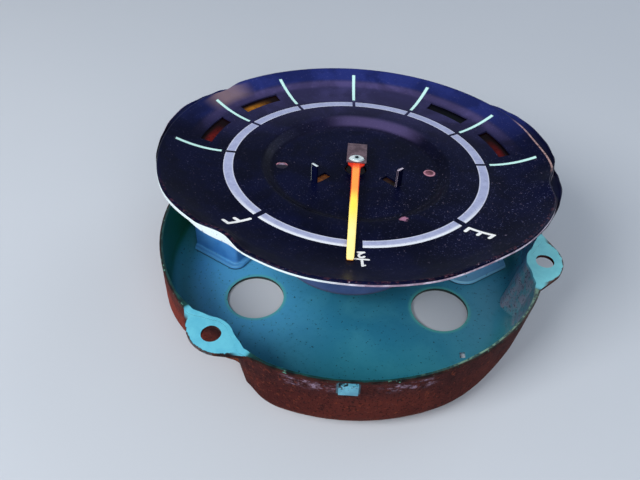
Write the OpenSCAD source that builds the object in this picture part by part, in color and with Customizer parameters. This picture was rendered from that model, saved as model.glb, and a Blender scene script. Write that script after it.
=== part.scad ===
// Round car fuel gauge: a dial and movement unit standing, slightly askew, in its shallow steel can.
// Millimetres. The can's underside is at z = 0, its axis is Z, and the unit's half-full mark faces -Y.

/* [Can] */
// Outer diameter of the can at its rim
can_d = 106; // [105:0.5:116]
// Height of the can
can_h = 19; // [17:0.5:26]
// Thickness of the can's sheet
sheet = 0.9; // [0.7:0.1:1.2]
// Outer radius of the shoulder between wall and floor
shoulder_r = 5.5; // [3:0.5:6.5]
// Side of the small square key hole in the floor
key_hole = 2; // [1.5:0.5:3]
// Direction of the key hole
key_hole_angle = 315; // [300:1:330]
// Distance of the key hole from the flat floor's edge
key_hole_margin = 3.5; // [2.5:0.5:8]

/* [Rim tab] */
// Width of the tab that is folded down over the rim
tab_w = 4.5; // [3:0.5:8]
// Drop of the tab below the rim
tab_drop = 3.4; // [2:0.2:6]
// Direction of the tab
tab_angle = 268.5; // [250:0.5:290]

/* [Screw ears] */
// Diameter of the screw holes in the ears
ear_hole_d = 4.8; // [4:0.1:5.4]
// Distance of the screw holes inside the can's outer diameter
ear_hole_inset = 0.3; // [0:0.1:1]
// Metal round each screw hole, on the outer side of the ear
ear_web = 2.4; // [1.8:0.1:3.5]
// Radius of the ears' rounded outer edge
ear_lobe_r = 9.5; // [8:0.5:10.5]
// Metal between a screw hole and the inner face of the wall's bay
bay_web = 2.4; // [2.2:0.1:3.5]
// Radius at the mouth of the wall's bay, inside
bay_blend = 10; // [8:1:13]

/* [Lamp holes] */
// Diameter of the lamp socket holes
lamp_hole_d = 16; // [14:0.5:16]
// Distance of the two dial lamp holes from the axis
lamp_ring_r = 29.2; // [28.5:0.5:32]
// Direction of the left dial lamp hole
lamp_angle_left = 204; // [200:1:208]
// Direction of the right dial lamp hole
lamp_angle_right = 331; // [327:1:335]

/* [Light boxes] */
// Angle of each light box from the back of the can
box_turn = 57; // [54:1:60]
// Height of the light boxes
box_h = 13; // [8:0.5:20]
// Wall thickness of the light boxes
box_wall = 0.8; // [0.6:0.1:1]
// Width of the foot flange beyond the wall
foot_lip = 2.4; // [1.5:0.1:3]
// Outer radius of the foot flange's inner corners
foot_corner_r = 3.5; // [2.5:0.5:5]
// Drop of the divider below the walls of the light box
divider_drop = 1; // [0.5:0.5:3]

/* [Dial] */
// Gap between the dial and the inside of the can, when it is let down
dial_play = 0.4; // [0.2:0.1:1]
// Thickness of the dial's sheet
dial_sheet = 0.6; // [0.4:0.1:0.8]
// Width of the hemmed rim
hem_w = 1.3; // [1.2:0.1:2]
// Height of the hem's skirt
skirt_h = 1.6; // [1.2:0.1:2.4]
// Height of the wall round the bays of the dial's rim
bay_wall_h = 3.2; // [2.8:0.1:3.5]
// Thickness of that wall, with its hem
bay_wall_t = 1.1; // [0.8:0.1:1.2]
// Width of the cove inside the rim
cove_w = 6.2; // [5:0.2:7]
// Height of the rim over the scale band
crest_h = 3.7; // [3:0.1:5]
// Depth of the recess in the middle of the dial
recess_depth = 1.7; // [1:0.1:2.5]
// Width of the slope round the recess
recess_slope = 3.3; // [2:0.1:5]
// Angle between two division marks
mark_step = 28.4; // [27:0.1:29.5]
// Radial width of the warning windows
window_w = 3.2; // [2.5:0.1:4]
// Angular length of the warning windows
window_span = 18; // [14:0.5:20]
// Metal between the windows and the foot of the cove
window_margin = 1; // [0.6:0.1:2]
// Overlap of the coloured films round their windows
film_lap = 1.2; // [0.6:0.1:1.4]
// Thickness of the coloured films
film_t = 0.3; // [0.2:0.05:0.5]
// Gap between the dial and the can in the front bay, when it is let down
bay_play = 0.1; // [0.1:0.1:0.6]
// Reach of the two shallow bays beyond the axis of their screw holes
shallow_reach = 2.4; // [2:0.1:3]
// Angle between each of two bays and the lip that follows it
lip_margin = 1.5; // [1:0.5:4]
// Angular length of the right lip, which rests on the can's rim when the dial is let down
lip_right_span = 34; // [20:1:36]
// Angular length of the left lip
lip_left_span = 48; // [20:1:52]
// Reach of the lips beyond the hem
lip_w = 2; // [1.5:0.1:2.5]
// Thickness of the lips
lip_t = 0.6; // [0.4:0.1:0.8]

/* [Pointer] */
// Length of the pointer from pivot to tip
pointer_r = 41; // [36:0.5:42]
// Width of the pointer at the pivot
blade_root_w = 2.2; // [2:0.1:3]
// Width of the pointer at the tip
blade_tip_w = 1.8; // [1.2:0.1:2.2]
// Thickness of the pointer blade
blade_t = 0.4; // [0.3:0.1:0.6]
// Height of the blade's underside over the scale band
blade_lift = 0.5; // [0.4:0.1:1]
// Turn of the pointer from the half-full mark as photographed
pointer_rest = -3.2; // [-20:0.1:20]
// Length of the counterweight behind the pivot
tail_len = 8; // [6:0.5:10]
// Width of the counterweight
tail_w = 5.3; // [4:0.1:7]
// Thickness of the counterweight
tail_t = 0.6; // [0.4:0.1:1]
// Thickness of the staked cap over the pivot
cap_t = 0.5; // [0.4:0.1:0.8]
// Width of the staked cap
cap_w = 4; // [3:0.1:4.4]
// Depth of the staked cap
cap_depth = 2.7; // [2:0.1:2.8]

/* [Pointer stops] */
// Angle of each stop from the half-full mark
stop_turn = 57; // [56:0.5:62]
// Distance of the stops from the pivot
stop_r = 12.8; // [12:0.1:15]
// Width of the stops, which are tabs lanced out of the dial and bent up
stop_w = 1.6; // [1.2:0.1:1.8]
// Height of the stops over the recess
stop_h = 5.1; // [4.6:0.1:7]
// Turn of the stops and of the slots that they leave, from the direction of the pivot
stop_skew = 13; // [0:1:20]

/* [Movement] */
// Outer diameter of the movement's cup
cup_d = 41; // [40:0.5:43]
// Thickness of the cup's sheet
cup_sheet = 0.6; // [0.5:0.1:0.8]
// Depth of the cup's underside below the scale band
movement_depth = 29.6; // [27:0.1:32]
// Width of the mounting plate beyond the cup
plate_margin = 1.3; // [1:0.1:2]
// Gap between the mounting plate and the slope of the recess
plate_play = 0.4; // [0.2:0.1:1]
// Thickness of the mounting plate and of the base plate
plate_t = 1.2; // [1:0.1:1.6]
// Length of the spacers between the base plate and the terminal board
spacer_len = 3; // [2.8:0.1:3.6]
// Diameter of the pillars
pillar_d = 4.4; // [3.6:0.1:5]
// Diameter of the pillars' staked ends
stake_d = 2.4; // [2:0.1:3]
// Diameter of the two rivets that hold the dial
rivet_d = 2; // [1.6:0.1:2.2]
// Diameter of the rivets' flush heads
rivet_head_d = 3.2; // [2.6:0.1:3.4]

/* [Coils] */
// Diameter of the coil bobbins
bobbin_d = 11.8; // [10:0.2:12]
// Thickness of the bobbins' flanges
flange_t = 0.6; // [0.5:0.1:0.8]
// Wall of the bobbins' tubes
bobbin_wall = 0.8; // [0.6:0.1:1]
// Depth of the flange left bare round a winding
winding_margin = 0.3; // [0.2:0.1:0.6]
// Diameter of the soft iron cores
core_d = 4; // [3.4:0.1:4.6]
// Side of the square pole shoes
shoe_side = 8; // [7:0.2:9]
// Thickness of the pole shoes and of the lugs that hold the cores
iron_t = 1; // [0.8:0.1:1.2]
// Gap between the armature's tips and the pole shoes
air_gap = 0.5; // [0.3:0.1:0.8]
// Diameter of the screws that hold the cores
core_screw_d = 2; // [1.6:0.1:2.4]

/* [Spindle] */
// Diameter of the spindle
spindle_d = 1; // [0.8:0.1:1.2]
// Clearance round the spindle in its two bearings
bearing_clearance = 0.05; // [0.03:0.01:0.1]
// Diameter of the upper bush
bush_d = 5; // [4:0.2:5.4]
// Diameter of the collet under the pointer
collet_d = 3; // [2.4:0.1:3.6]
// Height of the armature
armature_h = 7; // [5:0.5:8]
// Width of the armature
armature_w = 2.4; // [2:0.1:3]
// Thickness of the damper disc
damper_t = 0.8; // [0.5:0.1:1.2]
// Diameter of the lower pivot screw
pivot_screw_d = 3; // [2.6:0.1:3.6]

/* [Terminals] */
// Diameter of the terminal studs
stud_d = 4.8; // [4:0.1:5]
// Distance between the two studs
stud_spacing = 19; // [18:0.5:20]
// Length of the studs below the cup
stud_out = 7; // [6.8:0.1:12]
// Diameter of the studs' heads
stud_head_d = 8; // [7:0.1:8.6]
// Height of the studs' heads
stud_head_h = 1.4; // [1:0.1:1.6]
// Thickness of the insulating board
board_t = 1.6; // [1.2:0.1:1.8]
// Thickness of the insulators' flanges
insulator_t = 1.2; // [0.8:0.1:1.4]
// Wall of the insulators' shoulders
insulator_wall = 1.2; // [0.8:0.1:1.4]
// Thickness of the plain washers
washer_t = 0.7; // [0.5:0.1:0.8]
// Diameter of the plain washers
washer_d = 10; // [9:0.2:10.8]
// Thickness of the nuts
nut_t = 2.6; // [2:0.1:2.8]
// Width of the nuts across their flats
nut_af = 9.5; // [8:0.5:10]

/* [Standing] */
// Lean of the unit as photographed
lean = 4.3; // [0:0.1:5]
// Direction in which the unit leans
lean_toward = 73; // [0:1:360]
// Sideways distance of the unit's foot from the can's axis
foot_x = -0.8; // [-1.5:0.1:1.5]
// Backward distance of the unit's foot from the can's axis
foot_y = 1.6; // [-2:0.1:2]
// Height of the lower stud's tip over the surface that the can stands on
tip_gap = 0.1; // [0.1:0.05:0.5]

/* [Hidden] */
$fn = 96;

// Small extra depth that lets a cut pass clean through a face
past = 1;

// Can
can_r = can_d / 2;
flat_r = can_r - shoulder_r;
ear_angles = [230, 347, 141];
ear_hole_r = can_r - ear_hole_inset;
ear_tip_r = ear_hole_d / 2 + ear_web;
ear_lobe_x = ear_hole_r + ear_tip_r - ear_lobe_r;
ear_step = 0.05;
bay_reach = ear_hole_d / 2 + bay_web - sheet;
outer_blend = bay_blend + sheet;
tab_root = 0.3;

// Light boxes
box_gap = 0.3;
hole_margin = 0.5;
box_outer_r = flat_r - box_gap;
chamber_v = box_wall / 2 + hole_margin + lamp_hole_d / 2;
chamber_u = sqrt(pow(box_outer_r - box_wall - lamp_hole_d / 2, 2) - pow(chamber_v, 2));
inner_half = chamber_v + lamp_hole_d / 2 + hole_margin;
inner_u = chamber_u - lamp_hole_d / 2 - hole_margin;
wall_corner_r = max(foot_corner_r - foot_lip, box_wall + 0.2);

// Dial
dial_inset = sheet + dial_play;
dial_r = can_r - dial_inset;
cove_end_r = dial_r - hem_w;
cove_start_r = cove_end_r - cove_w;
dial_bay_reach = bay_reach + sheet + bay_play;
dial_bay_reaches = [dial_bay_reach, shallow_reach, shallow_reach];
dial_bay_blend = outer_blend - sheet - bay_play;
wall_top_z = crest_h - 0.15;
lip_low_z = crest_h - skirt_h + 0.1;
run_out = 0.3;
cove_turn = 80;
cove_steps = 8;
slope_steps = 6;
slot_margin = 0.2;
window_out_r = cove_start_r - window_margin;
window_in_r = window_out_r - window_w;
window_angles = [90 + 2.5 * mark_step, 90 + 1.5 * mark_step, 90 - 1.5 * mark_step, 90 - 2.5 * mark_step];

// Levels in the unit's own frame, whose zero is the scale band
recess_z = -recess_depth;
plate_top_z = recess_z - dial_sheet;
plate_low_z = plate_top_z - plate_t;
cup_low_z = -movement_depth;
board_low_z = cup_low_z + cup_sheet;
board_top_z = board_low_z + board_t;
base_low_z = board_top_z + spacer_len;
base_top_z = base_low_z + plate_t;
coil_z = (plate_low_z + base_top_z) / 2;
blade_top_z = blade_lift + blade_t;
tail_top_z = blade_top_z + tail_t;
cap_top_z = tail_top_z + cap_t;
insulator_low_z = cup_low_z - insulator_t;
washer_low_z = insulator_low_z - washer_t;
nut_low_z = washer_low_z - nut_t;
stud_low_z = cup_low_z - stud_out;

// Movement
cup_r = cup_d / 2;
cup_in_r = cup_r - cup_sheet;
plate_r = cup_r + plate_margin;
recess_r = plate_r + plate_play;
rivet_r = plate_r - rivet_head_d / 2 - 0.4;
coil_angles = [135, 45];
pillar_angles = [90, 205, 335];
lug_out_x = cup_in_r - 1.1;
lug_in_x = lug_out_x - iron_t;
pillar_ring_r = lug_out_x - pillar_d / 2 - 1.1;
bobbin_in_x = bobbin_d / 2 + 0.6;
shoe_out_x = bobbin_in_x - 0.1;
shoe_in_x = shoe_out_x - iron_t;
armature_r = shoe_in_x - air_gap;
core_screw_depth = 4;
screw_head_t = 0.6;

// Spindle and bearings
bush_top_z = recess_z - 0.3;
bush_flange_t = 0.8;
bush_flange_r = bush_d / 2 + 0.7;
hub_hole_r = bush_d / 2 + 0.4;
pivot_top_z = base_top_z + 1.6;
pivot_cup_depth = 1;
spindle_low_z = pivot_top_z - pivot_cup_depth + 0.1;
collet_low_z = recess_z + 0.6;
spindle_top_z = cap_top_z + 0.2;

// Terminals
stud_x = stud_spacing / 2;
board_half_w = 12;
spacer_y = 9;
spacer_r = 1.6;
card_half_len = stud_x - stud_head_d / 2 - 0.5;
card_w = 4;
card_h = 1.6;
foot_play = norm([foot_x, foot_y]);
stud_hole_r = stud_d / 2 + foot_play + 0.3;

// Place of the leaning unit: the scale band's centre over the can's floor
unit_z = (movement_depth + stud_out) * cos(lean)
    + (stud_x * abs(cos(lean_toward)) + stud_d / 2) * sin(lean) + tip_gap;
unit_x = foot_x + unit_z * tan(lean) * cos(lean_toward);
unit_y = foot_y + unit_z * tan(lean) * sin(lean_toward);
echo(unit_centre = [unit_x, unit_y, unit_z]);
echo(unit_axis = [sin(lean) * cos(lean_toward), sin(lean) * sin(lean_toward), cos(lean)]);
echo(chamber = [chamber_u, chamber_v], stud_hole_r = stud_hole_r);

function polar(r, a) = [r * cos(a), r * sin(a)];

// A path moved sideways by d, to the right of its direction
function beside(path, d) = [
    for (i = [0 : len(path) - 1])
        let (back = path[max(i - 1, 0)], ahead = path[min(i + 1, len(path) - 1)])
        let (way = (ahead - back) / norm(ahead - back))
        path[i] + d * [way[1], -way[0]]
];

function reversed(list) = [for (i = [len(list) - 1 : -1 : 0]) list[i]];

// Half angle between the centres of a bay's two mouth radii, seen from the can's axis
function mouth_angle(rim_r, reach, blend) =
    acos((pow(ear_hole_r, 2) + pow(rim_r - blend, 2) - pow(reach + blend, 2))
        / (2 * ear_hole_r * (rim_r - blend)));

module in_unit() {
    translate([unit_x, unit_y, unit_z])
        rotate(a = lean, v = [-sin(lean_toward), cos(lean_toward), 0]) children();
}

module slab(r, low, high) {
    translate([0, 0, low]) cylinder(r = r, h = high - low);
}

module ring(outer, inner, low, high) {
    difference() {
        slab(outer, low, high);
        slab(inner, low - past, high + past);
    }
}

// Part of a flat ring, centred on the direction middle
module arc_slab(inner, outer, middle, span, low, high) {
    rotate(middle - span / 2) rotate_extrude(angle = span)
        translate([inner, low]) square([outer - inner, high - low]);
}

// Plan of the bay that the rim makes round a screw hole on the X axis
module bay(rim_r, reach, blend) {
    half = mouth_angle(rim_r, reach, blend);
    far = rim_r + ear_tip_r + past;
    difference() {
        union() {
            translate([ear_hole_r, 0]) circle(r = reach);
            polygon([
                [ear_hole_r, 0], polar(rim_r - blend, half), polar(far, half),
                polar(far, -half), polar(rim_r - blend, -half),
            ]);
        }
        for (side = [-1, 1]) translate(polar(rim_r - blend, side * half)) circle(r = blend);
    }
}

// Section of a pan with a rounded shoulder, inset from the can's outer face
module pan_section(inset) {
    r = can_r - inset;
    round_r = shoulder_r - inset;
    translate([0, inset]) {
        square([r - round_r, can_h]);
        translate([0, round_r]) square([r, can_h - round_r]);
        translate([r - round_r, round_r]) circle(r = round_r);
    }
}

// A pan with its three bays, inset from the can's outer face
module pan(inset) {
    difference() {
        rotate_extrude() pan_section(inset);
        for (a = ear_angles) rotate(a) translate([0, 0, -past]) linear_extrude(can_h + 2 * past)
            bay(can_r + run_out - inset, bay_reach + inset, outer_blend - inset);
    }
}

// Plan of a screw ear on the X axis: a broad round lobe with flanks that run into the rim
module ear_plan() {
    half = mouth_angle(can_r, bay_reach, outer_blend);
    root = polar(can_r - sheet / 2, half);
    reach = root - [ear_lobe_x, 0];
    touch = atan2(reach[1], reach[0]) - acos(ear_lobe_r / norm(reach));
    tip = [ear_lobe_x, 0] + polar(ear_lobe_r, touch);
    translate([ear_lobe_x, 0]) circle(r = ear_lobe_r);
    polygon([[can_r / 2, 0], root, tip, [tip[0], -tip[1]], [root[0], -root[1]]]);
}

module housing_can() {
    color("darkturquoise")
    difference() {
        union() {
            difference() {
                union() {
                    pan(0);
                    for (a = ear_angles)
                        rotate(a) translate([0, 0, can_h - ear_step - sheet]) linear_extrude(sheet) ear_plan();
                }
                pan(sheet);
            }
            rotate(tab_angle) translate([can_r - tab_root, -tab_w / 2, can_h - tab_drop])
                cube([sheet + tab_root, tab_w, tab_drop]);
        }
        for (a = ear_angles)
            rotate(a) translate([ear_hole_r, 0, 0]) slab(ear_hole_d / 2, can_h - sheet - past, can_h + past);
        for (a = [lamp_angle_left, lamp_angle_right]) rotate(a) translate([lamp_ring_r, 0, 0]) lamp_hole();
        for (a = [90 - box_turn, 90 + box_turn], v = [-chamber_v, chamber_v])
            rotate(a) translate([chamber_u, v, 0]) lamp_hole();
        for (x = [-stud_x, stud_x]) translate([x, 0, 0]) slab(stud_hole_r, -past, sheet + past);
        rotate(key_hole_angle) translate([flat_r - key_hole_margin, 0, sheet / 2])
            rotate(45) cube([key_hole, key_hole, sheet + 2 * past], center = true);
    }
}

module lamp_hole() {
    slab(lamp_hole_d / 2, -past, sheet + past);
}

// Plan of a light box on the X axis: square outside, rounded corners towards the middle of the can
module box_plan(in_x, half, corner, out_r) {
    intersection() {
        circle(r = out_r);
        union() {
            translate([in_x + corner, -half]) square([out_r, 2 * half]);
            translate([in_x, corner - half]) square([out_r, 2 * (half - corner)]);
            for (side = [-1, 1]) translate([in_x + corner, side * (half - corner)]) circle(r = corner);
        }
    }
}

module light_box(turn) {
    color("lightskyblue")
    rotate(turn) translate([0, 0, sheet]) {
        difference() {
            union() {
                linear_extrude(box_wall)
                    box_plan(inner_u - box_wall - foot_lip, inner_half + box_wall + foot_lip,
                        foot_corner_r, box_outer_r);
                linear_extrude(box_h)
                    box_plan(inner_u - box_wall, inner_half + box_wall, wall_corner_r, box_outer_r);
            }
            translate([0, 0, -past]) linear_extrude(box_h + 2 * past)
                box_plan(inner_u, inner_half, wall_corner_r - box_wall, box_outer_r - box_wall);
        }
        translate([inner_u - box_wall / 2, -box_wall / 2, 0])
            cube([box_outer_r - inner_u, box_wall, box_h - divider_drop]);
    }
}

module light_box_left() {
    light_box(90 + box_turn);
}

module light_box_right() {
    light_box(90 - box_turn);
}

// Upper face of the dial from the pivot hole to the top of the cove
function slope_points() = [
    for (k = [0 : slope_steps])
        [recess_r + recess_slope * k / slope_steps, recess_z * (1 + cos(180 * k / slope_steps)) / 2]
];
function cove_points() = [
    for (k = [0 : cove_steps])
        let (t = cove_turn * k / cove_steps)
        [cove_start_r + cove_w * sin(t) / sin(cove_turn),
            (crest_h - hem_w / 2) * (1 - cos(t)) / (1 - cos(cove_turn))]
];
function crest_points() = [
    for (t = [150 : -30 : 0]) [dial_r - hem_w / 2, crest_h - hem_w / 2] + polar(hem_w / 2, t)
];

module dial_section() {
    face = concat([[hub_hole_r, recess_z]], slope_points(), cove_points());
    skirt = [[dial_r, crest_h - skirt_h], [dial_r - dial_sheet, crest_h - skirt_h]];
    polygon(concat(face, crest_points(), skirt, reversed(beside(face, dial_sheet))));
}

// The foot of each stop, with the X axis along its slot
module stop_places() {
    for (side = [-1, 1]) rotate(270 + side * stop_turn) translate([stop_r, 0, 0])
        rotate(-side * stop_skew) children();
}

module dial_plate() {
    color("midnightblue")
    in_unit() {
        difference() {
            union() {
                rotate_extrude() dial_section();
                for (i = [0 : 2]) rotate(ear_angles[i]) dial_bay_wall(dial_bay_reaches[i]);
                dial_lip(1, lip_right_span);
                dial_lip(2, lip_left_span);
            }
            for (i = [0 : 2]) rotate(ear_angles[i])
                translate([0, 0, plate_low_z]) linear_extrude(crest_h + movement_depth)
                bay(dial_r + run_out, dial_bay_reaches[i], dial_bay_blend);
            for (a = window_angles)
                arc_slab(window_in_r, window_out_r, a, window_span, -dial_sheet - past, past);
            for (x = [-rivet_r, rivet_r]) translate([x, 0, 0]) slab(rivet_head_d / 2, plate_top_z - past, past);
            stop_places() translate([-stop_h, -stop_w / 2 - slot_margin, plate_top_z - past])
                cube([stop_h - dial_sheet / 2, stop_w + 2 * slot_margin, 2 * past + dial_sheet]);
        }
        stop_places() translate([-dial_sheet / 2, -stop_w / 2, plate_top_z])
            cube([dial_sheet, stop_w, stop_h + dial_sheet]);
    }
}

// The hem stands as a wall round each bay of the dial's rim, which is then cut out
module dial_bay_wall(reach) {
    translate([0, 0, wall_top_z - bay_wall_h]) linear_extrude(bay_wall_h) intersection() {
        circle(r = dial_r - 0.2);
        bay(dial_r - bay_wall_t, reach + bay_wall_t, dial_bay_blend - bay_wall_t);
    }
}

// A ledge with a low upstand along its edge, next to the bay of the ear whose number is given
module dial_lip(i, span) {
    edge_r = dial_r + lip_w;
    middle = ear_angles[i] + mouth_angle(dial_r, dial_bay_reaches[i], dial_bay_blend) + lip_margin + span / 2;
    arc_slab(dial_r - dial_sheet / 2, edge_r, middle, span, lip_low_z, lip_low_z + lip_t);
    arc_slab(edge_r - lip_t, edge_r, middle, span, lip_low_z, lip_low_z + 2 * lip_t);
}

module dial_rivets() {
    color("rosybrown")
    in_unit() for (x = [-rivet_r, rivet_r]) translate([x, 0, 0]) {
        slab(rivet_head_d / 2, plate_top_z, recess_z);
        slab(rivet_d / 2, plate_low_z, recess_z);
    }
}

module film(index, shade) {
    color(shade)
    in_unit() arc_slab(window_in_r - film_lap, window_out_r + min(film_lap, window_margin - 0.2),
        window_angles[index], window_span + 5, -dial_sheet - film_t, -dial_sheet);
}

module filter_red_left() {
    film(0, "red");
}

module filter_amber() {
    film(1, "orange");
}

module filter_green() {
    film(2, "darkgreen");
}

module filter_red_right() {
    film(3, "darkred");
}

module movement_plate() {
    color("silver")
    in_unit() difference() {
        slab(plate_r, plate_low_z, plate_top_z);
        slab(bush_d / 2, plate_low_z - past, plate_top_z + past);
        for (x = [-rivet_r, rivet_r]) translate([x, 0, 0]) slab(rivet_d / 2, plate_low_z - past, plate_top_z + past);
        pillar_places() slab(stake_d / 2, plate_low_z - past, plate_top_z + past);
    }
}

module pillar_places() {
    for (a = pillar_angles) rotate(a) translate([pillar_ring_r, 0, 0]) children();
}

module stud_places() {
    for (x = [-stud_x, stud_x]) translate([x, 0, 0]) children();
}

module movement_cup() {
    color("lightslategray")
    in_unit() difference() {
        slab(cup_r, cup_low_z, plate_low_z);
        slab(cup_in_r, cup_low_z + cup_sheet, plate_low_z + past);
        stud_places() slab(stud_d / 2 + insulator_wall, cup_low_z - past, board_low_z + past);
    }
}

module frame_pillars() {
    color("khaki")
    in_unit() pillar_places() {
        slab(pillar_d / 2, base_top_z, plate_low_z);
        slab(stake_d / 2, base_low_z, plate_top_z);
    }
}

// The iron base plate, with two lugs that carry the coil cores
module base_plate() {
    lug_half = core_d / 2 + 1.5;
    color("lightgray")
    in_unit() difference() {
        union() {
            slab(lug_out_x, base_low_z, base_top_z);
            for (a = coil_angles) rotate(a) intersection() {
                translate([lug_in_x, -lug_half, base_low_z])
                    cube([2 * iron_t, 2 * lug_half, coil_z + lug_half - base_low_z]);
                slab(lug_out_x + 0.4, base_low_z, plate_low_z);
                translate([lug_in_x, -lug_half, base_low_z])
                    cube([iron_t, 2 * lug_half, coil_z + lug_half - base_low_z]);
            }
        }
        slab(pivot_screw_d / 2, base_low_z - past, base_top_z + past);
        pillar_places() slab(stake_d / 2, base_low_z - past, base_top_z + past);
        for (a = coil_angles) rotate(a) along_x(lug_in_x - past, lug_out_x + past, core_screw_d / 2);
    }
}

// A round bar along a coil's axis
module along_x(from, to, r) {
    translate([from, 0, coil_z]) rotate([0, 90, 0]) cylinder(r = r, h = to - from);
}

module upper_bush() {
    color("gold")
    in_unit() difference() {
        union() {
            slab(bush_d / 2, plate_low_z, bush_top_z);
            slab(bush_flange_r, plate_low_z - bush_flange_t, plate_low_z);
        }
        slab(spindle_d / 2 + bearing_clearance, plate_low_z - bush_flange_t - past, bush_top_z + past);
    }
}

module lower_pivot_screw() {
    color("gold")
    in_unit() difference() {
        slab(pivot_screw_d / 2, base_low_z - 1.4, pivot_top_z);
        slab(spindle_d / 2 + bearing_clearance, pivot_top_z - pivot_cup_depth, pivot_top_z + past);
        translate([-pivot_screw_d, -0.3, base_low_z - 1.4 - past]) cube([2 * pivot_screw_d, 0.6, past + 0.6]);
    }
}

module coil_core(turn) {
    color("dimgray")
    in_unit() rotate(turn) difference() {
        union() {
            along_x(shoe_out_x, lug_in_x, core_d / 2);
            translate([shoe_in_x, -shoe_side / 2, coil_z - shoe_side / 2]) cube([iron_t, shoe_side, shoe_side]);
        }
        along_x(lug_in_x - core_screw_depth, lug_in_x + past, core_screw_d / 2);
    }
}

module coil_bobbin(turn) {
    tube_r = core_d / 2 + bobbin_wall;
    color("saddlebrown")
    in_unit() rotate(turn) difference() {
        union() {
            along_x(bobbin_in_x, lug_in_x, tube_r);
            along_x(bobbin_in_x, bobbin_in_x + flange_t, bobbin_d / 2);
            along_x(lug_in_x - flange_t, lug_in_x, bobbin_d / 2);
        }
        along_x(bobbin_in_x - past, lug_in_x + past, core_d / 2);
    }
}

module coil_winding(turn, shade) {
    color(shade)
    in_unit() rotate(turn) difference() {
        along_x(bobbin_in_x + flange_t, lug_in_x - flange_t, bobbin_d / 2 - winding_margin);
        along_x(bobbin_in_x, lug_in_x, core_d / 2 + bobbin_wall);
    }
}

module empty_coil_core() {
    coil_core(coil_angles[0]);
}

module full_coil_core() {
    coil_core(coil_angles[1]);
}

module empty_coil_bobbin() {
    coil_bobbin(coil_angles[0]);
}

module full_coil_bobbin() {
    coil_bobbin(coil_angles[1]);
}

module empty_coil_winding() {
    coil_winding(coil_angles[0], "darkorange");
}

module full_coil_winding() {
    coil_winding(coil_angles[1], "peru");
}

module core_screws() {
    color("silver")
    in_unit() for (a = coil_angles) rotate(a) {
        along_x(lug_in_x - core_screw_depth, lug_out_x, core_screw_d / 2);
        along_x(lug_out_x, lug_out_x + screw_head_t, core_screw_d * 0.85);
    }
}

module terminal_board() {
    color("sienna")
    in_unit() difference() {
        translate([0, 0, board_low_z]) linear_extrude(board_t) intersection() {
            circle(r = cup_in_r - 0.5);
            square([cup_d, 2 * board_half_w], center = true);
        }
        stud_places() slab(stud_d / 2, board_low_z - past, board_top_z + past);
    }
}

module board_spacers() {
    color("khaki")
    in_unit() for (y = [-spacer_y, spacer_y]) translate([0, y, 0]) slab(spacer_r, board_top_z, base_low_z);
}

module resistor_card() {
    y = -(spacer_y - spacer_r - 0.4);
    color("burlywood")
    in_unit() translate([-card_half_len, y, board_top_z]) cube([2 * card_half_len, card_w, card_h]);
}

module terminal_studs() {
    color("goldenrod")
    in_unit() stud_places() {
        slab(stud_head_d / 2, board_top_z, board_top_z + stud_head_h);
        slab(stud_d / 2, stud_low_z + 0.6, board_top_z);
        translate([0, 0, stud_low_z]) cylinder(r1 = stud_d / 2 - 0.6, r2 = stud_d / 2, h = 0.6);
    }
}

module stud_insulators() {
    color("darkred")
    in_unit() stud_places() difference() {
        union() {
            slab(stud_d / 2 + insulator_wall, cup_low_z, board_low_z);
            slab(washer_d / 2 + 0.4, insulator_low_z, cup_low_z);
        }
        slab(stud_d / 2, insulator_low_z - past, board_low_z + past);
    }
}

module stud_washers() {
    color("silver")
    in_unit() stud_places() ring(washer_d / 2, stud_d / 2, washer_low_z, insulator_low_z);
}

module stud_nuts() {
    color("gold")
    in_unit() stud_places() difference() {
        translate([0, 0, nut_low_z]) cylinder(r = nut_af / sqrt(3), h = nut_t, $fn = 6);
        slab(stud_d / 2, nut_low_z - past, washer_low_z + past);
    }
}

// What turns with the pointer is drawn at the pointer's photographed reading
module in_pointer() {
    in_unit() rotate(pointer_rest) children();
}

module spindle() {
    color("lightgray")
    in_pointer() slab(spindle_d / 2, spindle_low_z, spindle_top_z);
}

module armature() {
    color("dimgray")
    in_pointer() difference() {
        intersection() {
            translate([-armature_r, -armature_w / 2, coil_z - armature_h / 2])
                cube([2 * armature_r, armature_w, armature_h]);
            slab(armature_r, coil_z - armature_h, coil_z + armature_h);
        }
        slab(spindle_d / 2, coil_z - armature_h, coil_z + armature_h);
    }
}

module damper_disc() {
    low = coil_z - armature_h / 2 - 1 - damper_t;
    color("gold")
    in_pointer() ring(armature_r - 0.4, spindle_d / 2, low, low + damper_t);
}

module hub_collet() {
    color("gold")
    in_pointer() ring(collet_d / 2, spindle_d / 2, collet_low_z, blade_lift);
}

module pointer_blade() {
    root_y = -1.2;
    tip_round = blade_tip_w / 4;
    color("orange")
    in_pointer() translate([0, 0, blade_lift]) linear_extrude(blade_t) difference() {
        union() {
            circle(r = collet_d / 2);
            polygon([
                [-blade_root_w / 2, root_y + 2], [-blade_tip_w / 2, tip_round - pointer_r],
                [blade_tip_w / 2, tip_round - pointer_r], [blade_root_w / 2, root_y + 2],
            ]);
            for (side = [-1, 1]) translate([side * (blade_tip_w / 2 - tip_round), tip_round - pointer_r])
                circle(r = tip_round);
            translate([tip_round - blade_tip_w / 2, -pointer_r])
                square([blade_tip_w - 2 * tip_round, 2 * tip_round]);
        }
        circle(r = spindle_d / 2);
    }
}

module pointer_tail() {
    front = 1.8;
    color("dimgray")
    in_pointer() difference() {
        translate([-tail_w / 2, -front, blade_top_z]) cube([tail_w, tail_len + front, tail_t]);
        slab(spindle_d / 2, blade_top_z - past, tail_top_z + past);
    }
}

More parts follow.
